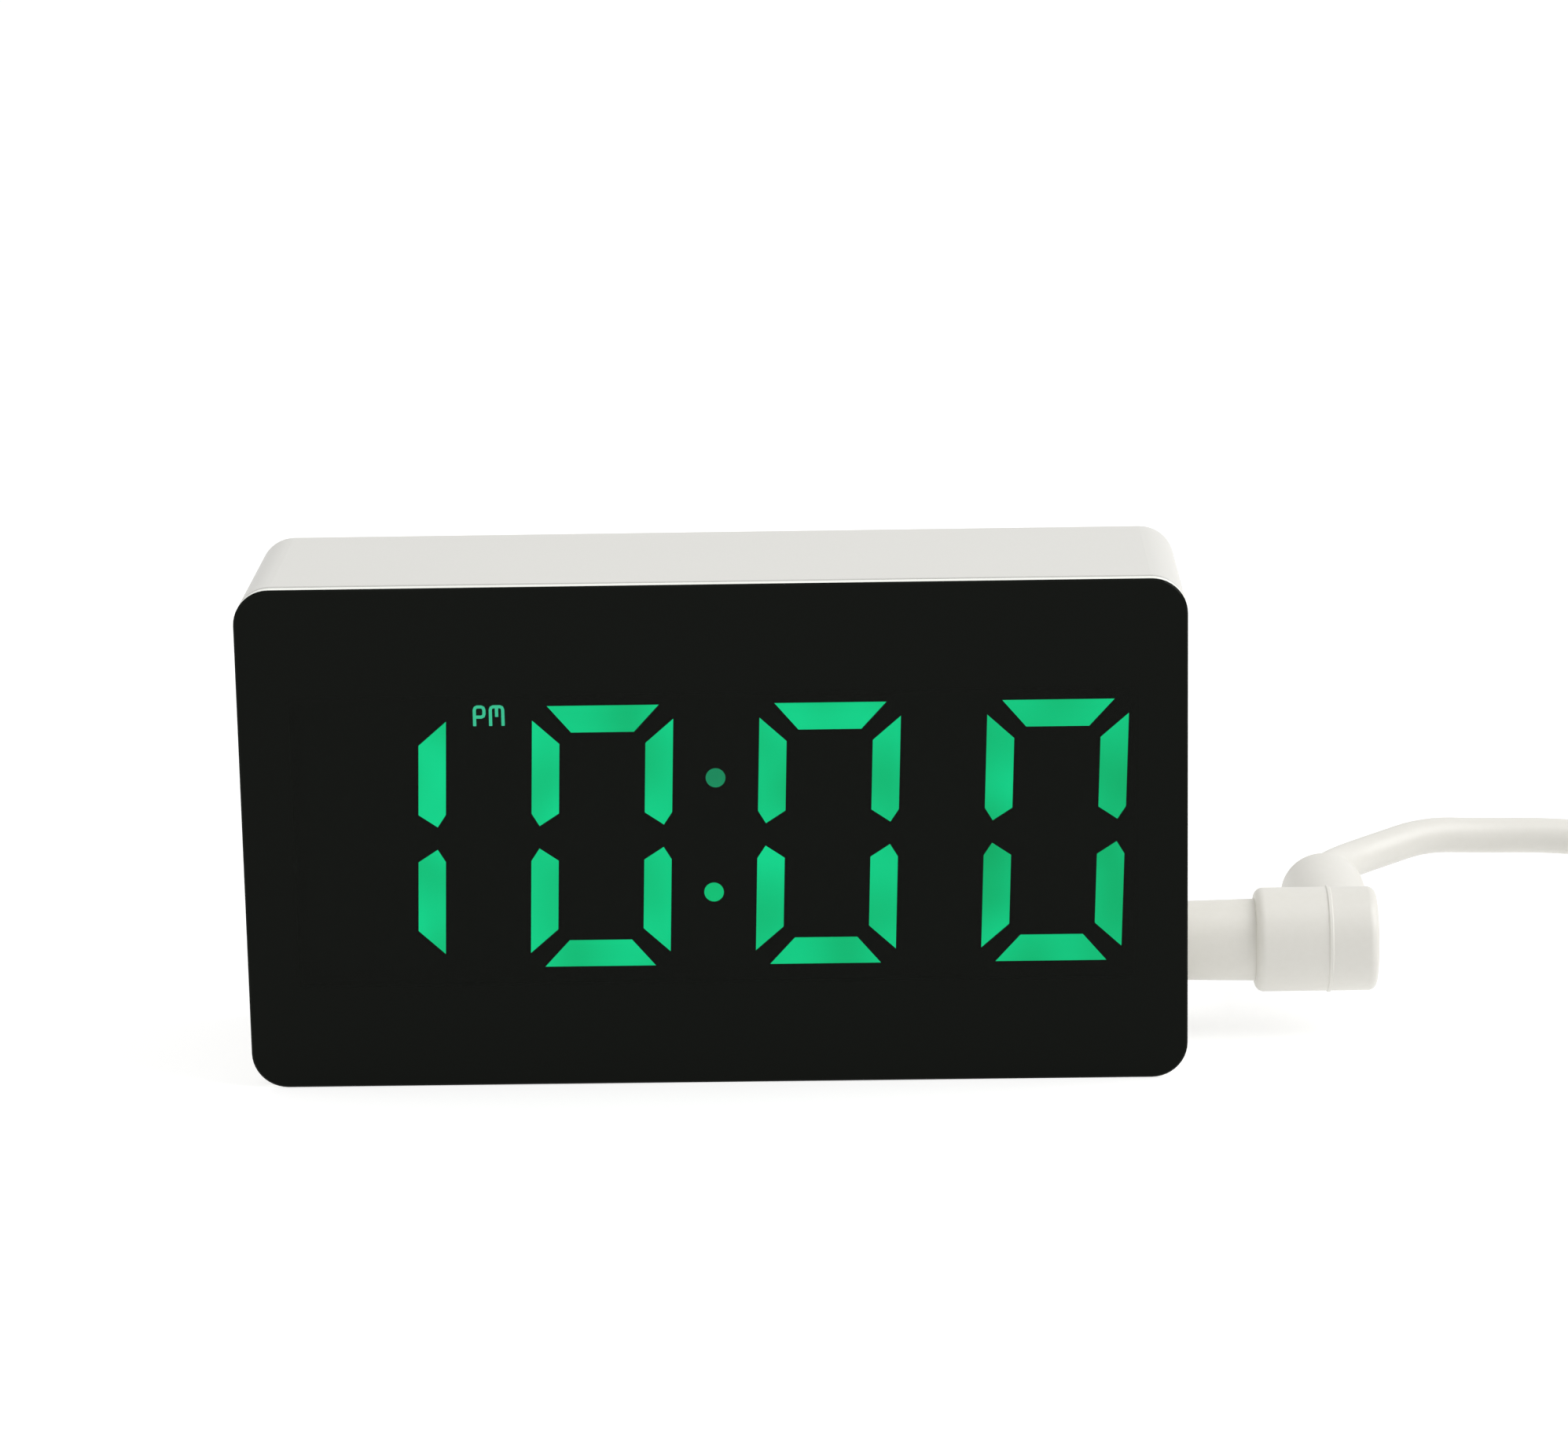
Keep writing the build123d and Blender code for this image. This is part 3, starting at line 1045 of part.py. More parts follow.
def make_nodes():
    """Every piece of the clock under its name."""
    nodes = {
        "front_panel": make_front_panel(),
        "panel_tape": make_panel_tape(),
        "housing": make_housing(),
        "display_reflector": make_reflector(),
        "colon_dots": make_colon(),
        "legend_window": make_legend_window(),
        "light_chips": make_light_chips(),
        "main_board": make_main_board(),
        "board_screws": make_board_screws(),
        "controller_chip": make_controller(),
        "timing_crystal": make_crystal(),
        "smoothing_capacitor": make_capacitor(),
        "buzzer": make_buzzer(),
        "power_socket": make_power_socket(),
        "rear_cover": make_rear_cover(),
        "cover_screws": make_cover_screws(),
        "battery_door": make_battery_door(),
        "battery_cells": make_cells(),
        "battery_contacts": make_contact_plates(),
        "battery_springs": make_springs(),
        "key_board": make_key_board(),
        "key_board_screws": make_key_board_screws(),
        "key_switches": make_switches(),
        "board_header": make_board_header(),
        "plug_overmould": make_plug_overmould(),
        "plug_barrel": make_plug_barrel(),
        "power_lead": make_lead(lead_points(), "power lead"),
        "lead_coil": make_coil(),
        "lead_tail": make_lead(tail_points(), "lead tail"),
        "lead_tie": make_tie(),
        "usb_overmould": make_usb_overmould(),
        "usb_shell": make_usb_shell(),
        "usb_tongue": make_usb_tongue(),
        "usb_contacts": make_usb_contacts(),
    }
    for digit, name in enumerate(DIGIT_NAMES):
        lit = LIT_BARS[digit]
        dark = [bar for bar in SEGMENTS if bar not in lit]
        nodes[name + "_lit"] = make_digit(digit, lit)
        nodes[name + "_dark"] = make_digit(digit, dark)
    for x, name in zip(BUTTON_SPOTS, BUTTON_NAMES):
        nodes[name + "_button"] = make_button(x)
        nodes[name + "_plunger"] = make_plunger(x)
    return nodes


os.makedirs("parts", exist_ok=True)
for node_name, shape in make_nodes().items():
    export_step(shape, f"parts/{node_name}.step")
print("clock", round(WIDTH, 2), "wide", round(HEIGHT, 2), "high", round(DEPTH, 2), "deep")
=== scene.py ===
import math

import bpy
from mathutils import Matrix, Vector


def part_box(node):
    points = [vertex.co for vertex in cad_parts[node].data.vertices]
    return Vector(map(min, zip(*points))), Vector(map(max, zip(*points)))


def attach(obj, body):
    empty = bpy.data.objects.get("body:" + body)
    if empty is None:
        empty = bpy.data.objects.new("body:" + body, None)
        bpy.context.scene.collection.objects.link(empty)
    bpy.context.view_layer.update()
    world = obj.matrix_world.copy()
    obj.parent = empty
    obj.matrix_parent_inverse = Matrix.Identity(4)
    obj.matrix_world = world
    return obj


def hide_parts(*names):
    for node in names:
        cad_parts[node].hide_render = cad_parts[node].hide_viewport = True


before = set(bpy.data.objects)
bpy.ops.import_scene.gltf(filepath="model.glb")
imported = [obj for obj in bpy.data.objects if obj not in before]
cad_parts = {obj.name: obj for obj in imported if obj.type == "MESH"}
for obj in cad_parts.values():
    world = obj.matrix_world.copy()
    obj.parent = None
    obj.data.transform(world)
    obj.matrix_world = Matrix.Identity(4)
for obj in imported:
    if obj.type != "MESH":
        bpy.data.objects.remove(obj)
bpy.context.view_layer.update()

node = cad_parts


# The table the clock stands on: one pale sheet of matt paper on a light table, far wider than the view.
# It isn't part of the object. To the eye it is white without gloss, with a faint tooth, and the light that
# comes through it from below takes away nearly all of the shadow.
def linear(code):
    """Linear colour of an sRGB hex value such as 'e8e6e0'."""
    parts = [int(code[i:i + 2], 16) / 255 for i in (0, 2, 4)]
    return [c / 12.92 if c <= 0.04045 else ((c + 0.055) / 1.055) ** 2.4 for c in parts] + [1.0]


def add(tree, kind, settings, links):
    """Adds one node, with settings by socket or property name and links by socket name or number."""
    made = tree.nodes.new(kind)
    for key, value in settings.items():
        if isinstance(key, int) or key in made.inputs:
            made.inputs[key].default_value = value
        else:
            setattr(made, key, value)
    for key, source in links.items():
        tree.links.new(source, made.inputs[key])
    return made


def empty_material(name):
    """New material with an empty node tree."""
    made = bpy.data.materials.new(name)
    made.use_nodes = True
    made.node_tree.nodes.clear()
    return made, made.node_tree


def close(tree, shader):
    """Joins the finished shader to the material's output."""
    add(tree, "ShaderNodeOutputMaterial", {}, {"Surface": shader.outputs[0]})


PAPER_SIZE = 8.0
PAPER_GLOW = 0.6
# The tooth of real paper is near 0.1 mm. It is drawn coarser, so that it shows.
PAPER_TOOTH = 0.00111
bpy.ops.object.select_all(action="DESELECT")
bpy.ops.mesh.primitive_plane_add(size=PAPER_SIZE)
table_paper = bpy.context.object
table_paper.name = "table_paper"
paper, tree = empty_material("matt_white_paper")
place = add(tree, "ShaderNodeTexCoord", {}, {})
tooth = add(tree, "ShaderNodeTexNoise", {"Scale": 1 / PAPER_TOOTH, "Detail": 2.0},
            {"Vector": place.outputs["Object"]})
relief = add(tree, "ShaderNodeBump", {"Strength": 0.05, "Distance": 0.0001},
             {"Height": tooth.outputs["Fac"]})
shader = add(tree, "ShaderNodeBsdfPrincipled",
             {"Base Color": linear("bcbcbb"), "Roughness": 0.9, "Specular IOR Level": 0.1,
              "Emission Color": linear("ffffff"), "Emission Strength": PAPER_GLOW},
             {"Normal": relief.outputs["Normal"]})
close(tree, shader)
table_paper.data.materials.append(paper)


# Studio light: a white room that is dimmer on the camera's side, a large soft box high on the right,
# a weaker one overhead and a weak fill from the left. Plain display colours, so a tone set is a tone seen.
bpy.context.scene.view_settings.view_transform = "Standard"
ROOM_FRONT = 0.5
ROOM_REAR = 0.8
CLOCK_MIDDLE = Vector((0.0, 0.0, 0.03))
room = bpy.data.worlds.new("white_room")
room.use_nodes = True
room_tree = room.node_tree
room_glow = room_tree.nodes["Background"]
room_glow.inputs["Color"].default_value = linear("ffffff")
sight_line = add(room_tree, "ShaderNodeTexCoord", {}, {})
parts = add(room_tree, "ShaderNodeSeparateXYZ", {}, {"Vector": sight_line.outputs["Generated"]})
strength = add(room_tree, "ShaderNodeMapRange",
               {"From Min": -1.0, "From Max": 1.0, "To Min": ROOM_FRONT, "To Max": ROOM_REAR},
               {"Value": parts.outputs["Y"]})
room_tree.links.new(strength.outputs[0], room_glow.inputs["Strength"])
bpy.context.scene.world = room


def soft_box(name, place, side, power):
    """Square area light, side in metres and power in watts, turned to the middle of the clock."""
    bpy.ops.object.select_all(action="DESELECT")
    bpy.ops.object.light_add(type="AREA", location=place)
    box = bpy.context.object
    box.name = name
    box.data.size = side
    box.data.energy = power
    box.rotation_euler = (CLOCK_MIDDLE - Vector(place)).to_track_quat("-Z", "Y").to_euler()


soft_box("right_box", place=(1.1, -0.15, 0.95), side=1.0, power=13.5)
soft_box("overhead_box", place=(0.1, -0.2, 1.6), side=1.2, power=3.5)
soft_box("left_box", place=(-1.2, -0.1, 0.8), side=1.0, power=2.5)


# Camera at the photograph's place: 0.6 m in front and a little above, with a long lens and a slight roll.
# Its place and lens were worked out from the edges of the case in the photograph.
CAMERA_PLACE = (0.02007, -0.60201, 0.18996)
SIGHT = Vector((-0.01939, 0.96994, -0.24260)).normalized()
ROLL = math.radians(1.04)
LENS = 120.18
FILM_WIDTH = 36.0
NEAREST = 0.01
level = SIGHT.cross(Vector((0, 0, 1))).normalized()
upright = level.cross(SIGHT)
camera_right = level * math.cos(ROLL) - upright * math.sin(ROLL)
camera_up = level * math.sin(ROLL) + upright * math.cos(ROLL)
bpy.ops.object.select_all(action="DESELECT")
bpy.ops.object.camera_add()
camera = bpy.context.object
camera.data.lens = LENS
camera.data.sensor_width = FILM_WIDTH
camera.data.clip_start = NEAREST
turn = Matrix((camera_right, camera_up, -SIGHT)).transposed().to_4x4()
camera.matrix_world = Matrix.Translation(CAMERA_PLACE) @ turn
bpy.context.scene.camera = camera


# Housing: the white box of the clock, one ABS moulding with a fine spark-eroded satin on its outside.
# The rear cover and the battery door are moulded from the same batch and share the finish. To the eye it is
# an even, slightly warm white with wide soft highlights and no clear reflection.
def dress(name, material):
    """Gives a carried-over node its finish."""
    node[name].data.materials.clear()
    node[name].data.materials.append(material)


# Spark-eroded grit is near 0.03 mm. It is drawn coarser, so that it shows.
SATIN_GRIT = 0.00035
CLOUD_SIZE = 0.03
white_abs, tree = empty_material("moulded_white_abs")
place = add(tree, "ShaderNodeTexCoord", {}, {})
grit = add(tree, "ShaderNodeTexNoise", {"Scale": 1 / SATIN_GRIT, "Detail": 2.0},
           {"Vector": place.outputs["Object"]})
cloud = add(tree, "ShaderNodeTexNoise", {"Scale": 1 / CLOUD_SIZE, "Detail": 1.0},
            {"Vector": place.outputs["Object"]})
tone = add(tree, "ShaderNodeMix", {"data_type": "RGBA", 6: linear("cfcec9"), 7: linear("d1d0cb")},
           {"Factor": cloud.outputs["Fac"]})
sheen = add(tree, "ShaderNodeMapRange", {"To Min": 0.36, "To Max": 0.46}, {"Value": grit.outputs["Fac"]})
relief = add(tree, "ShaderNodeBump", {"Strength": 0.06, "Distance": 0.00003},
             {"Height": grit.outputs["Fac"]})
shader = add(tree, "ShaderNodeBsdfPrincipled", {"IOR": 1.54},
             {"Base Color": tone.outputs[2], "Roughness": sheen.outputs[0],
              "Normal": relief.outputs["Normal"]})
close(tree, shader)
for name in ("housing", "rear_cover", "battery_door"):
    dress(name, white_abs)


# Push buttons: four dished caps of the same white ABS, held behind the rear cover by their flanges.
# They are moulded in one tree and polished by use, so they gleam a little more than the cover.
BUTTONS = ("mode", "set", "up", "down")
button_abs, tree = empty_material("button_white_abs")
place = add(tree, "ShaderNodeTexCoord", {}, {})
grit = add(tree, "ShaderNodeTexNoise", {"Scale": 1 / SATIN_GRIT, "Detail": 2.0},
           {"Vector": place.outputs["Object"]})
tone = add(tree, "ShaderNodeMix", {"data_type": "RGBA", 6: linear("d1d0cb"), 7: linear("d3d2ce")},
           {"Factor": grit.outputs["Fac"]})
sheen = add(tree, "ShaderNodeMapRange", {"To Min": 0.26, "To Max": 0.34}, {"Value": grit.outputs["Fac"]})
shader = add(tree, "ShaderNodeBsdfPrincipled", {"IOR": 1.54},
             {"Base Color": tone.outputs[2], "Roughness": sheen.outputs[0]})
close(tree, shader)
for name in BUTTONS:
    dress(name + "_button", button_abs)


# Display block: white plastic whose front face is printed matt black, with a light well behind each bar.
# It lies in the dark behind the coated panel, and the print gives the eye an even black without gloss.
SHEEN_SPREAD = 0.06


def speckled(name, dark, light, grain, rough, metal=0.0):
    """Moulded or plated finish: two close tones and an uneven sheen, in grains coarse enough to show."""
    made, tree = empty_material(name)
    place = add(tree, "ShaderNodeTexCoord", {}, {})
    noise = add(tree, "ShaderNodeTexNoise", {"Scale": 1 / grain, "Detail": 2.0},
                {"Vector": place.outputs["Object"]})
    tone = add(tree, "ShaderNodeMix", {"data_type": "RGBA", 6: linear(dark), 7: linear(light)},
               {"Factor": noise.outputs["Fac"]})
    sheen = add(tree, "ShaderNodeMapRange", {"To Min": rough - SHEEN_SPREAD, "To Max": rough + SHEEN_SPREAD},
                {"Value": noise.outputs["Fac"]})
    shader = add(tree, "ShaderNodeBsdfPrincipled", {"Metallic": metal},
                 {"Base Color": tone.outputs[2], "Roughness": sheen.outputs[0]})
    close(tree, shader)
    return made


dress("display_reflector", speckled("printed_reflector_face", "0a0b09", "0d0e0c", SATIN_GRIT, rough=0.8))


# Tape frame: black double-sided foam tape that holds the panel to the front of the housing.
# Its cut edge shows only from the side, as a dull black hairline between the panel and the housing.
FOAM_CELL = 0.00015
dress("panel_tape", speckled("black_foam_tape", "0b0c0b", "151614", FOAM_CELL, rough=0.88))


# Light bars: milky epoxy cast into the wells of the display block, lit from behind by green chips.
# Neighbouring bars differ a little, as their chips do, and the row fades a little to the right.
# The panel lets a tenth of their light through, so the bars are about ten times as strong as they look.
BAR_GLOW = 9.9
BAR_PATCH = 0.008
PATCH_SHIFT = (0.061, 0.054, 0.161)
PATCH_SPREAD = 1.25
ROW_END = 0.046
LEFT_LIFT = 0.26
RIGHT_LIFT = -0.17
green_resin, tree = empty_material("lit_milky_epoxy")
place = add(tree, "ShaderNodeTexCoord", {}, {})
moved = add(tree, "ShaderNodeMapping", {"Location": PATCH_SHIFT}, {"Vector": place.outputs["Object"]})
patch = add(tree, "ShaderNodeTexNoise", {"Scale": 1 / BAR_PATCH, "Detail": 0.0},
            {"Vector": moved.outputs[0]})
parts = add(tree, "ShaderNodeSeparateXYZ", {}, {"Vector": place.outputs["Object"]})
fall = add(tree, "ShaderNodeMapRange",
           {"From Min": -ROW_END, "From Max": ROW_END, "To Min": LEFT_LIFT, "To Max": RIGHT_LIFT},
           {"Value": parts.outputs["X"]})
share = add(tree, "ShaderNodeMath", {"operation": "MULTIPLY_ADD", "use_clamp": True, 1: PATCH_SPREAD},
            {0: patch.outputs["Fac"], 2: fall.outputs[0]})
glow = add(tree, "ShaderNodeMix", {"data_type": "RGBA", 6: linear("02a862"), 7: linear("04d48b")},
           {"Factor": share.outputs[0]})
shader = add(tree, "ShaderNodeBsdfPrincipled",
             {"Base Color": linear("0a1a12"), "Roughness": 0.6, "Emission Strength": BAR_GLOW},
             {"Emission Color": glow.outputs[2]})
close(tree, shader)
# The unlit epoxy is milky but is painted as dark as the print: painted shade for the dark behind the coated
# panel.
dim_resin_painted_shade = speckled("unlit_milky_epoxy_in_painted_shade", "0a0b09", "0d0e0c", SATIN_GRIT, rough=0.7)
for digit in ("hour_tens", "hour_units", "minute_tens", "minute_units"):
    dress(digit + "_lit", green_resin)
    dress(digit + "_dark", dim_resin_painted_shade)


# Colon: two small round dots of the same epoxy between the hours and the minutes.
# The upper one was caught as it dimmed in the photograph, so it is the darker one here.
COLON_RISE = 0.0069
lowest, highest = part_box("colon_dots")
colon_middle = (lowest.z + highest.z) / 2
dot_resin, tree = empty_material("lit_colon_epoxy")
place = add(tree, "ShaderNodeTexCoord", {}, {})
parts = add(tree, "ShaderNodeSeparateXYZ", {}, {"Vector": place.outputs["Object"]})
rise = add(tree, "ShaderNodeMapRange",
           {"From Min": colon_middle - COLON_RISE, "From Max": colon_middle + COLON_RISE},
           {"Value": parts.outputs["Z"]})
glow = add(tree, "ShaderNodeMix", {"data_type": "RGBA", 6: linear("02bf74"), 7: linear("14865a")},
           {"Factor": rise.outputs[0]})
shader = add(tree, "ShaderNodeBsdfPrincipled",
             {"Base Color": linear("0a1a12"), "Roughness": 0.6, "Emission Strength": BAR_GLOW},
             {"Emission Color": glow.outputs[2]})
close(tree, shader)
dress("colon_dots", dot_resin)


# Afternoon legend: the letters PM, left clear in a print over a small window of resin and lit from behind.
# They lie between the display block and the panel, as a film no thicker than the gap there.
# The film is cloudy and scatters some room light, so the letters are a little paler than the bars.
P_LEFT = -0.02759
M_LEFT = -0.02573
LEGEND_FOOT = 0.0432
LEGEND_LIFT = 0.0001
LEGEND_THICKNESS = 0.00005
STROKE = 0.00038
MILLIMETRE = 0.001
P_LINE = [(0, 0), (0, 1.9), (0.09, 2.17), (0.32, 2.28), (0.8, 2.28), (1.03, 2.17), (1.12, 1.9),
          (1.12, 1.44), (1.03, 1.18), (0.8, 1.07), (0, 1.07)]
M_LINE = [(0, 0), (0, 1.9), (0.09, 2.17), (0.32, 2.28), (1.12, 2.28), (1.35, 2.17), (1.44, 1.9), (1.44, 0)]
M_MIDDLE = [(0.72, 2.28), (0.72, 1.07)]
# The haze of the film is too fine to see. It is drawn coarser, so that it shows.
FILM_GRAIN = 0.0003
block_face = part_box("display_reflector")[0].y
legend_film, tree = empty_material("lit_legend_film")
place = add(tree, "ShaderNodeTexCoord", {}, {})
grain = add(tree, "ShaderNodeTexNoise", {"Scale": 1 / FILM_GRAIN}, {"Vector": place.outputs["Object"]})
glow = add(tree, "ShaderNodeMix", {"data_type": "RGBA", 6: linear("36ba8b"), 7: linear("3cc295")},
           {"Factor": grain.outputs["Fac"]})
shader = add(tree, "ShaderNodeBsdfPrincipled",
             {"Base Color": linear("0a1a12"), "Roughness": 0.6, "Emission Strength": BAR_GLOW},
             {"Emission Color": glow.outputs[2]})
close(tree, shader)
# The resin window behind the letters gets the same dark resin, painted shade as well.
dress("legend_window", dim_resin_painted_shade)
for name, left, lines in (("legend_p", P_LEFT, [P_LINE]), ("legend_m", M_LEFT, [M_LINE, M_MIDDLE])):
    letter = bpy.data.curves.new(name, "CURVE")
    letter.dimensions = "3D"
    letter.bevel_depth = STROKE / 2
    letter.bevel_resolution = 2
    letter.use_fill_caps = True
    for line in lines:
        stroke = letter.splines.new("POLY")
        stroke.points.add(len(line) - 1)
        for spot, (x, z) in zip(stroke.points, line):
            spot.co = (x * MILLIMETRE, 0.0, z * MILLIMETRE, 1.0)
    piece = bpy.data.objects.new(name, letter)
    bpy.context.collection.objects.link(piece)
    bpy.ops.object.select_all(action="DESELECT")
    piece.select_set(True)
    bpy.context.view_layer.objects.active = piece
    bpy.ops.object.convert(target="MESH")
    piece.data.transform(Matrix.Diagonal((1.0, LEGEND_THICKNESS / STROKE, 1.0, 1.0)))
    piece.data.transform(Matrix.Translation((left, block_face - LEGEND_LIFT, LEGEND_FOOT)))
    piece.data.materials.clear()
    piece.data.materials.append(legend_film)
    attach(piece, "case")


# Front panel: a clear acrylic sheet, polished on its face and sawn at its edge, which looks frosted and is
# painted pale, partly as a highlight.
# Its rear has a dark half-mirror coat, printed black except at the window, so only the lit bars come through.
# To the eye it is an even black with a weak gloss. The coat is drawn on the face and covers nine tenths.
WINDOW_HALF_WIDTH = 0.04915
WINDOW_HALF_HEIGHT = 0.01765
WINDOW_MIDDLE = 0.0297
# The print ends in a fine halftone, so the window has no sharp edge.
WINDOW_FADE = 0.0007
WINDOW_COVER = 0.9
# The pale band of the sawn edge, frost and partly painted highlight, starts this far behind the face and ends
# this far before the rear.
SAWN_FROM_FACE = 0.0002
SAWN_FROM_REAR = 0.0001
sheet_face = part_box("front_panel")[0].y
sheet_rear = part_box("front_panel")[1].y
sheet_middle = (sheet_face + sheet_rear) / 2
sawn_start = sheet_face + SAWN_FROM_FACE
sawn_end = sheet_rear - SAWN_FROM_REAR
mirror_acrylic, tree = empty_material("dark_mirror_acrylic")
place = add(tree, "ShaderNodeTexCoord", {}, {})
parts = add(tree, "ShaderNodeSeparateXYZ", {}, {"Vector": place.outputs["Object"]})
aside = add(tree, "ShaderNodeMath", {"operation": "ABSOLUTE"}, {0: parts.outputs["X"]})
across = add(tree, "ShaderNodeMapRange",
             {"From Min": WINDOW_HALF_WIDTH, "From Max": WINDOW_HALF_WIDTH - WINDOW_FADE},
             {"Value": aside.outputs[0]})
height = add(tree, "ShaderNodeMath", {"operation": "SUBTRACT", 1: WINDOW_MIDDLE}, {0: parts.outputs["Z"]})
rise = add(tree, "ShaderNodeMath", {"operation": "ABSOLUTE"}, {0: height.outputs[0]})
upward = add(tree, "ShaderNodeMapRange",
             {"From Min": WINDOW_HALF_HEIGHT, "From Max": WINDOW_HALF_HEIGHT - WINDOW_FADE},
             {"Value": rise.outputs[0]})
window = add(tree, "ShaderNodeMath", {"operation": "MULTIPLY"},
             {0: across.outputs[0], 1: upward.outputs[0]})
face = add(tree, "ShaderNodeMath", {"operation": "LESS_THAN", 1: sheet_middle}, {0: parts.outputs["Y"]})
clear = add(tree, "ShaderNodeMapRange", {"To Min": 1.0, "To Max": 1.0 - WINDOW_COVER},
            {"Value": face.outputs[0]})
passed = add(tree, "ShaderNodeMath", {"operation": "MULTIPLY"}, {0: window.outputs[0], 1: clear.outputs[0]})
cover = add(tree, "ShaderNodeMath", {"operation": "SUBTRACT", 0: 1.0}, {1: passed.outputs[0]})
# The sawn edge is painted pale: its frost, and partly a painted highlight along the edge.
sawn_edge_and_highlight = add(tree, "ShaderNodeMath",
           {"operation": "COMPARE", 1: (sawn_start + sawn_end) / 2, 2: (sawn_end - sawn_start) / 2},
           {0: parts.outputs["Y"]})
coat = add(tree, "ShaderNodeMix", {"data_type": "RGBA", 6: linear("10120f"), 7: linear("111310")},
           {"Factor": window.outputs[0]})
tone = add(tree, "ShaderNodeMix", {"data_type": "RGBA", 7: linear("e6e7e1")},
           {"Factor": sawn_edge_and_highlight.outputs[0], 6: coat.outputs[2]})
sheen = add(tree, "ShaderNodeMapRange", {"To Min": 0.05, "To Max": 0.75}, {"Value": sawn_edge_and_highlight.outputs[0]})
shader = add(tree, "ShaderNodeBsdfPrincipled", {"IOR": 1.49, "Specular IOR Level": 0.04},
             {"Base Color": tone.outputs[2], "Roughness": sheen.outputs[0], "Alpha": cover.outputs[0]})
close(tree, shader)
dress("front_panel", mirror_acrylic)


# Light chips: small milky lenses soldered to the front of the main board, one pair behind each bar.
# They are hidden behind the resin, and their glow is drawn as the resin's own.
LENS_GRAIN = 0.0003
dress("light_chips", speckled("milky_chip_lens", "c9cfae", "d6dab9", LENS_GRAIN, rough=0.35))


# Main board and key board: glass laminate under green solder mask, with copper tracks as faint paler lines.
# The main board is screwed to posts in the housing, the key board to posts in the rear cover.
# To the eye the mask is a deep green with the gloss of a thin lacquer.
TRACK_STEP = 0.0018
TRACK_WIDTH = 0.000108
TRACK_RUN = 0.009
solder_mask, tree = empty_material("green_solder_mask")
place = add(tree, "ShaderNodeTexCoord", {}, {})
turned = add(tree, "ShaderNodeMapping", {"Rotation": (math.radians(90), 0.0, 0.0)},
             {"Vector": place.outputs["Object"]})
tracks = add(tree, "ShaderNodeTexBrick",
             {"Color1": linear("0f4a2c"), "Color2": linear("11502f"), "Mortar": linear("2a7a4a"),
              "Scale": 1 / TRACK_STEP, "Mortar Size": TRACK_WIDTH / 2 / TRACK_STEP,
              "Brick Width": TRACK_RUN / TRACK_STEP, "Row Height": 1.0},
             {"Vector": turned.outputs[0]})
shader = add(tree, "ShaderNodeBsdfPrincipled", {"Roughness": 0.35}, {"Base Color": tracks.outputs["Color"]})
close(tree, shader)
for name in ("main_board", "key_board"):
    dress(name, solder_mask)


# Screws: pan heads with a cross, cold-headed steel with bright zinc plating, in two sizes.
# They hold the boards and the rear cover, and shine a pale, slightly mottled grey.
PLATING_GRAIN = 0.0004
zinc_steel = speckled("zinc_plated_steel", "a5a7aa", "bcbec0", PLATING_GRAIN, rough=0.32, metal=1.0)
for name in ("board_screws", "key_board_screws", "cover_screws"):
    dress(name, zinc_steel)


# Controller chip: a flat package of black epoxy with tinned leads along its two long sides.
# The leads lie on the board, so the tin shows up to their thickness above it. The epoxy is a dull black.
CHIP_LEAD = 0.0003
# The filler of the epoxy is near 0.03 mm. It is drawn coarser, so that it shows.
EPOXY_GRAIN = 0.0002
# Each of the two finishes ends this far past the face that it stops at.
FACE_MARGIN = 0.00001
board_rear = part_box("main_board")[1].y
chip_epoxy, tree = empty_material("chip_epoxy_and_tin")
place = add(tree, "ShaderNodeTexCoord", {}, {})
parts = add(tree, "ShaderNodeSeparateXYZ", {}, {"Vector": place.outputs["Object"]})
tin = add(tree, "ShaderNodeMath", {"operation": "LESS_THAN", 1: board_rear + CHIP_LEAD + FACE_MARGIN},
          {0: parts.outputs["Y"]})
grain = add(tree, "ShaderNodeTexNoise", {"Scale": 1 / EPOXY_GRAIN}, {"Vector": place.outputs["Object"]})
black = add(tree, "ShaderNodeMix", {"data_type": "RGBA", 6: linear("1b1c1d"), 7: linear("262728")},
            {"Factor": grain.outputs["Fac"]})
tone = add(tree, "ShaderNodeMix", {"data_type": "RGBA", 7: linear("c2c3c4")},
           {"Factor": tin.outputs[0], 6: black.outputs[2]})
sheen = add(tree, "ShaderNodeMapRange", {"To Min": 0.6, "To Max": 0.3}, {"Value": tin.outputs[0]})
shader = add(tree, "ShaderNodeBsdfPrincipled", {},
             {"Base Color": tone.outputs[2], "Roughness": sheen.outputs[0], "Metallic": tin.outputs[0]})
close(tree, shader)
dress("controller_chip", chip_epoxy)


# Timing crystal, contact plates and contact springs: drawn or bent steel with nickel plating.
# The crystal is soldered flat, the plates and springs are pressed into the cell bay. The nickel shines a
# little warmer and brighter than the zinc of the screws.
nickel_steel = speckled("nickel_plated_steel", "b3b0a8", "c6c3bb", PLATING_GRAIN, rough=0.28, metal=1.0)
for name in ("timing_crystal", "battery_contacts", "battery_springs"):
    dress(name, nickel_steel)


# Smoothing capacitor: a drawn aluminium can that stands on the main board.
# Its skin is bare metal with a pale, slightly dull shine.
CAN_GRAIN = 0.0003
drawn_can = speckled("drawn_aluminium_can", "bfc1c3", "cfd0d1", CAN_GRAIN, rough=0.38, metal=1.0)
dress("smoothing_capacitor", drawn_can)


# Sounder, power socket, switch bodies and switch plungers: glass-filled nylon, moulded matt black.
# The sounder and the socket are soldered to the main board, the switches to the key board.
black_nylon = speckled("glass_filled_black_nylon", "17181a", "222325", EPOXY_GRAIN, rough=0.55)
for name in ("buzzer", "power_socket", "key_switches"):
    dress(name, black_nylon)
for name in BUTTONS:
    dress(name + "_plunger", black_nylon)


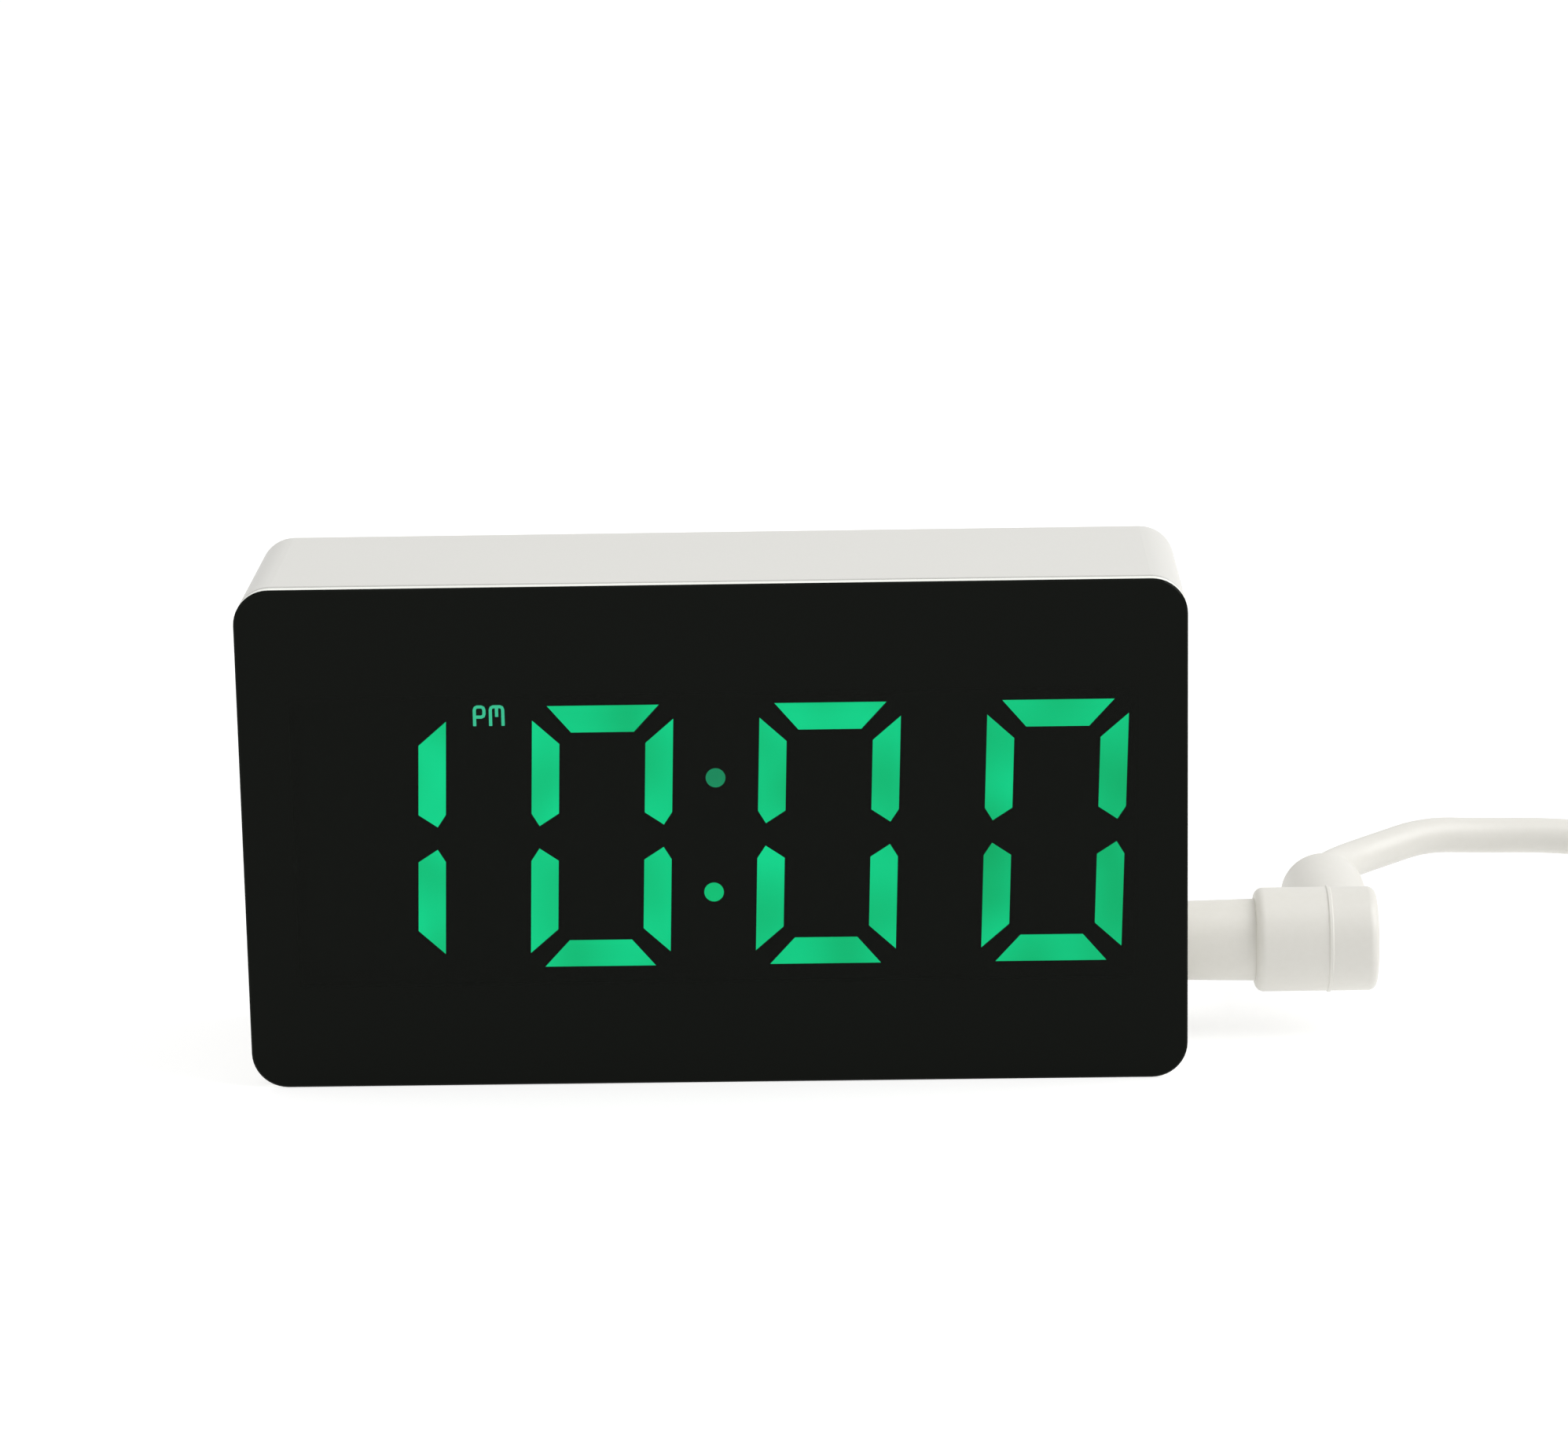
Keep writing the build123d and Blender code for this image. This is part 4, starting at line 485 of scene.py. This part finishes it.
# Board header: square brass pins pressed through a black base, between the two boards.
# The base stands on the main board and the bare pins go on from there to the key board.
HEADER_BASE = 0.0024
header_pins, tree = empty_material("brass_pins_in_nylon")
place = add(tree, "ShaderNodeTexCoord", {}, {})
parts = add(tree, "ShaderNodeSeparateXYZ", {}, {"Vector": place.outputs["Object"]})
pin = add(tree, "ShaderNodeMath", {"operation": "GREATER_THAN", 1: board_rear + HEADER_BASE + FACE_MARGIN},
          {0: parts.outputs["Y"]})
grain = add(tree, "ShaderNodeTexNoise", {"Scale": 1 / PLATING_GRAIN}, {"Vector": place.outputs["Object"]})
brass = add(tree, "ShaderNodeMix", {"data_type": "RGBA", 6: linear("c9a24a"), 7: linear("d9b45c")},
            {"Factor": grain.outputs["Fac"]})
tone = add(tree, "ShaderNodeMix", {"data_type": "RGBA", 6: linear("191a1b")},
           {"Factor": pin.outputs[0], 7: brass.outputs[2]})
sheen = add(tree, "ShaderNodeMapRange", {"To Min": 0.55, "To Max": 0.25}, {"Value": pin.outputs[0]})
shader = add(tree, "ShaderNodeBsdfPrincipled", {},
             {"Base Color": tone.outputs[2], "Roughness": sheen.outputs[0], "Metallic": pin.outputs[0]})
close(tree, shader)
dress("board_header", header_pins)


# Cells: three slim steel cans in a printed jacket without words, bare at the rims and the button end.
# They lie head to tail in the bay behind the battery door. To the eye the jacket is a smooth dark grey, and
# the steel has a faint mottle, drawn coarser than it is so that it shows.
JACKET_HALF = 0.0196
CELL_GRAIN = 0.0006
cell_jacket, tree = empty_material("printed_cell_jacket")
place = add(tree, "ShaderNodeTexCoord", {}, {})
parts = add(tree, "ShaderNodeSeparateXYZ", {}, {"Vector": place.outputs["Object"]})
jacket = add(tree, "ShaderNodeMath", {"operation": "COMPARE", 1: 0.0, 2: JACKET_HALF},
             {0: parts.outputs["X"]})
grain = add(tree, "ShaderNodeTexNoise", {"Scale": 1 / CELL_GRAIN}, {"Vector": place.outputs["Object"]})
steel = add(tree, "ShaderNodeMix", {"data_type": "RGBA", 6: linear("b4b3b0"), 7: linear("c4c3c0")},
            {"Factor": grain.outputs["Fac"]})
tone = add(tree, "ShaderNodeMix", {"data_type": "RGBA", 7: linear("2c3138")},
           {"Factor": jacket.outputs[0], 6: steel.outputs[2]})
sheen = add(tree, "ShaderNodeMapRange", {"To Min": 0.22, "To Max": 0.34}, {"Value": jacket.outputs[0]})
bare = add(tree, "ShaderNodeMapRange", {"To Min": 1.0, "To Max": 0.0}, {"Value": jacket.outputs[0]})
shader = add(tree, "ShaderNodeBsdfPrincipled", {},
             {"Base Color": tone.outputs[2], "Roughness": sheen.outputs[0], "Metallic": bare.outputs[0]})
close(tree, shader)
dress("battery_cells", cell_jacket)


# Power lead: a round white PVC lead that leaves the plug to the rear, bends right and runs out of view.
# The rest of it is wound up beside the clock, held by a strip, and ends in a USB plug.
# To the eye its skin is a soft white with one wide, dull highlight along it.
EXIT = Vector((0.0739, 0.0236, 0.0114))
LEAD_STEPS = [
    (0.0, 0.0, 0.0),
    (0.0, 0.0049, 0.0),
    (0.00095, 0.0091, -0.0001),
    (0.00285, 0.0130, -0.0003),
    (0.0056, 0.0164, -0.0003),
    (0.0090, 0.0192, 0.0),
    (0.0151, 0.0232, 0.00085),
    (0.0226, 0.0253, 0.0),
    (0.0310, 0.0262, -0.00025),
    (0.0400, 0.0260, -0.0011),
    (0.0493, 0.0251, -0.0042),
    (0.0585, 0.0247, -0.0073),
    (0.0661, 0.0250, -0.00835),
    (0.0721, 0.0250, -0.00835),
]
TAIL_STEPS = [
    (0.0, 0.0, 0.0),
    (0.0070, 0.0, 0.0),
    (0.0155, -0.0003, -0.0013),
    (0.0240, 0.0, -0.00405),
    (0.0310, 0.0, -0.00405),
]
LEAD_DIAMETER = 0.0045
COIL_RADIUS = 0.032
COIL_PITCH = 0.005
COIL_STEP = 0.005
COIL_TURNS = 5
TURN_POINTS = 16
coil_start = EXIT + Vector(LEAD_STEPS[-1]) + Vector((LEAD_DIAMETER, 0, 0))
coil_middle = coil_start - Vector((0, COIL_RADIUS, 0))
# A spline of order 3 runs inside the points of a round turn, at this share of their distance from its middle.
pull_in = 0.75 + 0.25 * math.cos(2 * math.pi / TURN_POINTS)
coil_points = []
for i in range(1, COIL_TURNS * TURN_POINTS):
    turns = i / TURN_POINTS
    radius = (COIL_RADIUS - COIL_PITCH * min(turns, COIL_TURNS - turns)) / pull_in
    angle = math.pi / 2 - 2 * math.pi * turns
    # Half way along, the lead climbs to the upper layer within half a turn.
    climb = COIL_STEP * min(max(2 * (turns - COIL_TURNS / 2) + 0.5, 0), 1)
    coil_points.append(coil_middle + Vector((radius * math.cos(angle), radius * math.sin(angle), climb)))
tail_start = coil_start + Vector((LEAD_DIAMETER, 0, COIL_STEP))
lead_points = [EXIT + Vector(step) for step in LEAD_STEPS] + [coil_start]
lead_points += coil_points + [coil_start + Vector((0, 0, COIL_STEP))]
lead_points += [tail_start + Vector(step) for step in TAIL_STEPS]
lead_curve = bpy.data.curves.new("lead", "CURVE")
lead_curve.dimensions = "3D"
lead_curve.bevel_depth = LEAD_DIAMETER / 2
lead_curve.bevel_resolution = 12
lead_curve.resolution_u = 6
lead_curve.use_fill_caps = True
lead_line = lead_curve.splines.new("NURBS")
lead_line.points.add(len(lead_points) - 1)
for spot, point in zip(lead_line.points, lead_points):
    spot.co = (*point, 1.0)
lead_line.order_u = 3
lead_line.use_endpoint_u = True
lead = bpy.data.objects.new("lead", lead_curve)
bpy.context.collection.objects.link(lead)
# The grain of an extruded skin is near 0.05 mm. It is drawn coarser, so that it shows.
SKIN_GRAIN = 0.0008
white_pvc, tree = empty_material("soft_white_pvc")
place = add(tree, "ShaderNodeTexCoord", {}, {})
skin = add(tree, "ShaderNodeTexNoise", {"Scale": 1 / SKIN_GRAIN, "Detail": 2.0},
           {"Vector": place.outputs["Object"]})
tone = add(tree, "ShaderNodeMix", {"data_type": "RGBA", 6: linear("d4d2cb"), 7: linear("d8d6d0")},
           {"Factor": skin.outputs["Fac"]})
relief = add(tree, "ShaderNodeBump", {"Strength": 0.05, "Distance": 0.00005},
             {"Height": skin.outputs["Fac"]})
shader = add(tree, "ShaderNodeBsdfPrincipled", {"Roughness": 0.42, "IOR": 1.53},
             {"Base Color": tone.outputs[2], "Normal": relief.outputs["Normal"]})
close(tree, shader)
lead.data.materials.append(white_pvc)
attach(lead, "lead")
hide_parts("power_lead", "lead_coil", "lead_tail")


# Power plug: a white PVC right angle moulded over the lead, with a fine raised parting line round its body.
# Its plated brass sleeve goes into the socket behind the right wall.
BARREL_GRAIN = 0.0003
bright_sleeve = speckled("bright_nickel_sleeve", "c0bfbd", "cfcecc", BARREL_GRAIN, rough=0.16, metal=1.0)
dress("plug_overmould", white_pvc)
dress("plug_barrel", bright_sleeve)


# Tie: a soft black rubber strip with fine ribs along it, closed round the wound lead.
# It sits on the right of the coil and keeps the turns together.
RIB_STEP = 0.0008
# At scale 1 the wave pattern repeats after this length.
WAVE_LENGTH = 2 * math.pi / 20
ribbed_rubber, tree = empty_material("ribbed_black_rubber")
place = add(tree, "ShaderNodeTexCoord", {}, {})
ribs_and_painted_shade = add(tree, "ShaderNodeTexWave", {"Scale": WAVE_LENGTH / RIB_STEP, "bands_direction": "Y"},
           {"Vector": place.outputs["Object"]})
# The ribs are painted darker in their grooves and paler on their crests: painted shade and painted highlight.
tone = add(tree, "ShaderNodeMix", {"data_type": "RGBA", 6: linear("161616"), 7: linear("242424")},
           {"Factor": ribs_and_painted_shade.outputs["Fac"]})
relief = add(tree, "ShaderNodeBump", {"Strength": 0.3, "Distance": 0.0001}, {"Height": ribs_and_painted_shade.outputs["Fac"]})
shader = add(tree, "ShaderNodeBsdfPrincipled", {"Roughness": 0.75},
             {"Base Color": tone.outputs[2], "Normal": relief.outputs["Normal"]})
close(tree, shader)
dress("lead_tie", ribbed_rubber)


# USB plug: a rounded white PVC grip with a tapered relief, over a folded steel shell with bright plating.
# A white tongue inside the shell carries four gold-plated strips.
TONGUE_GRAIN = 0.0004
GOLD_GRAIN = 0.0002
dress("usb_overmould", white_pvc)
dress("usb_shell", speckled("bright_plated_shell", "bdbcba", "cbcac8", PLATING_GRAIN, rough=0.2, metal=1.0))
dress("usb_tongue", speckled("white_nylon_tongue", "dcdbd8", "e2e1de", TONGUE_GRAIN, rough=0.4))
dress("usb_contacts", speckled("gold_plated_strip", "d3a94c", "dfb85f", GOLD_GRAIN, rough=0.22, metal=1.0))
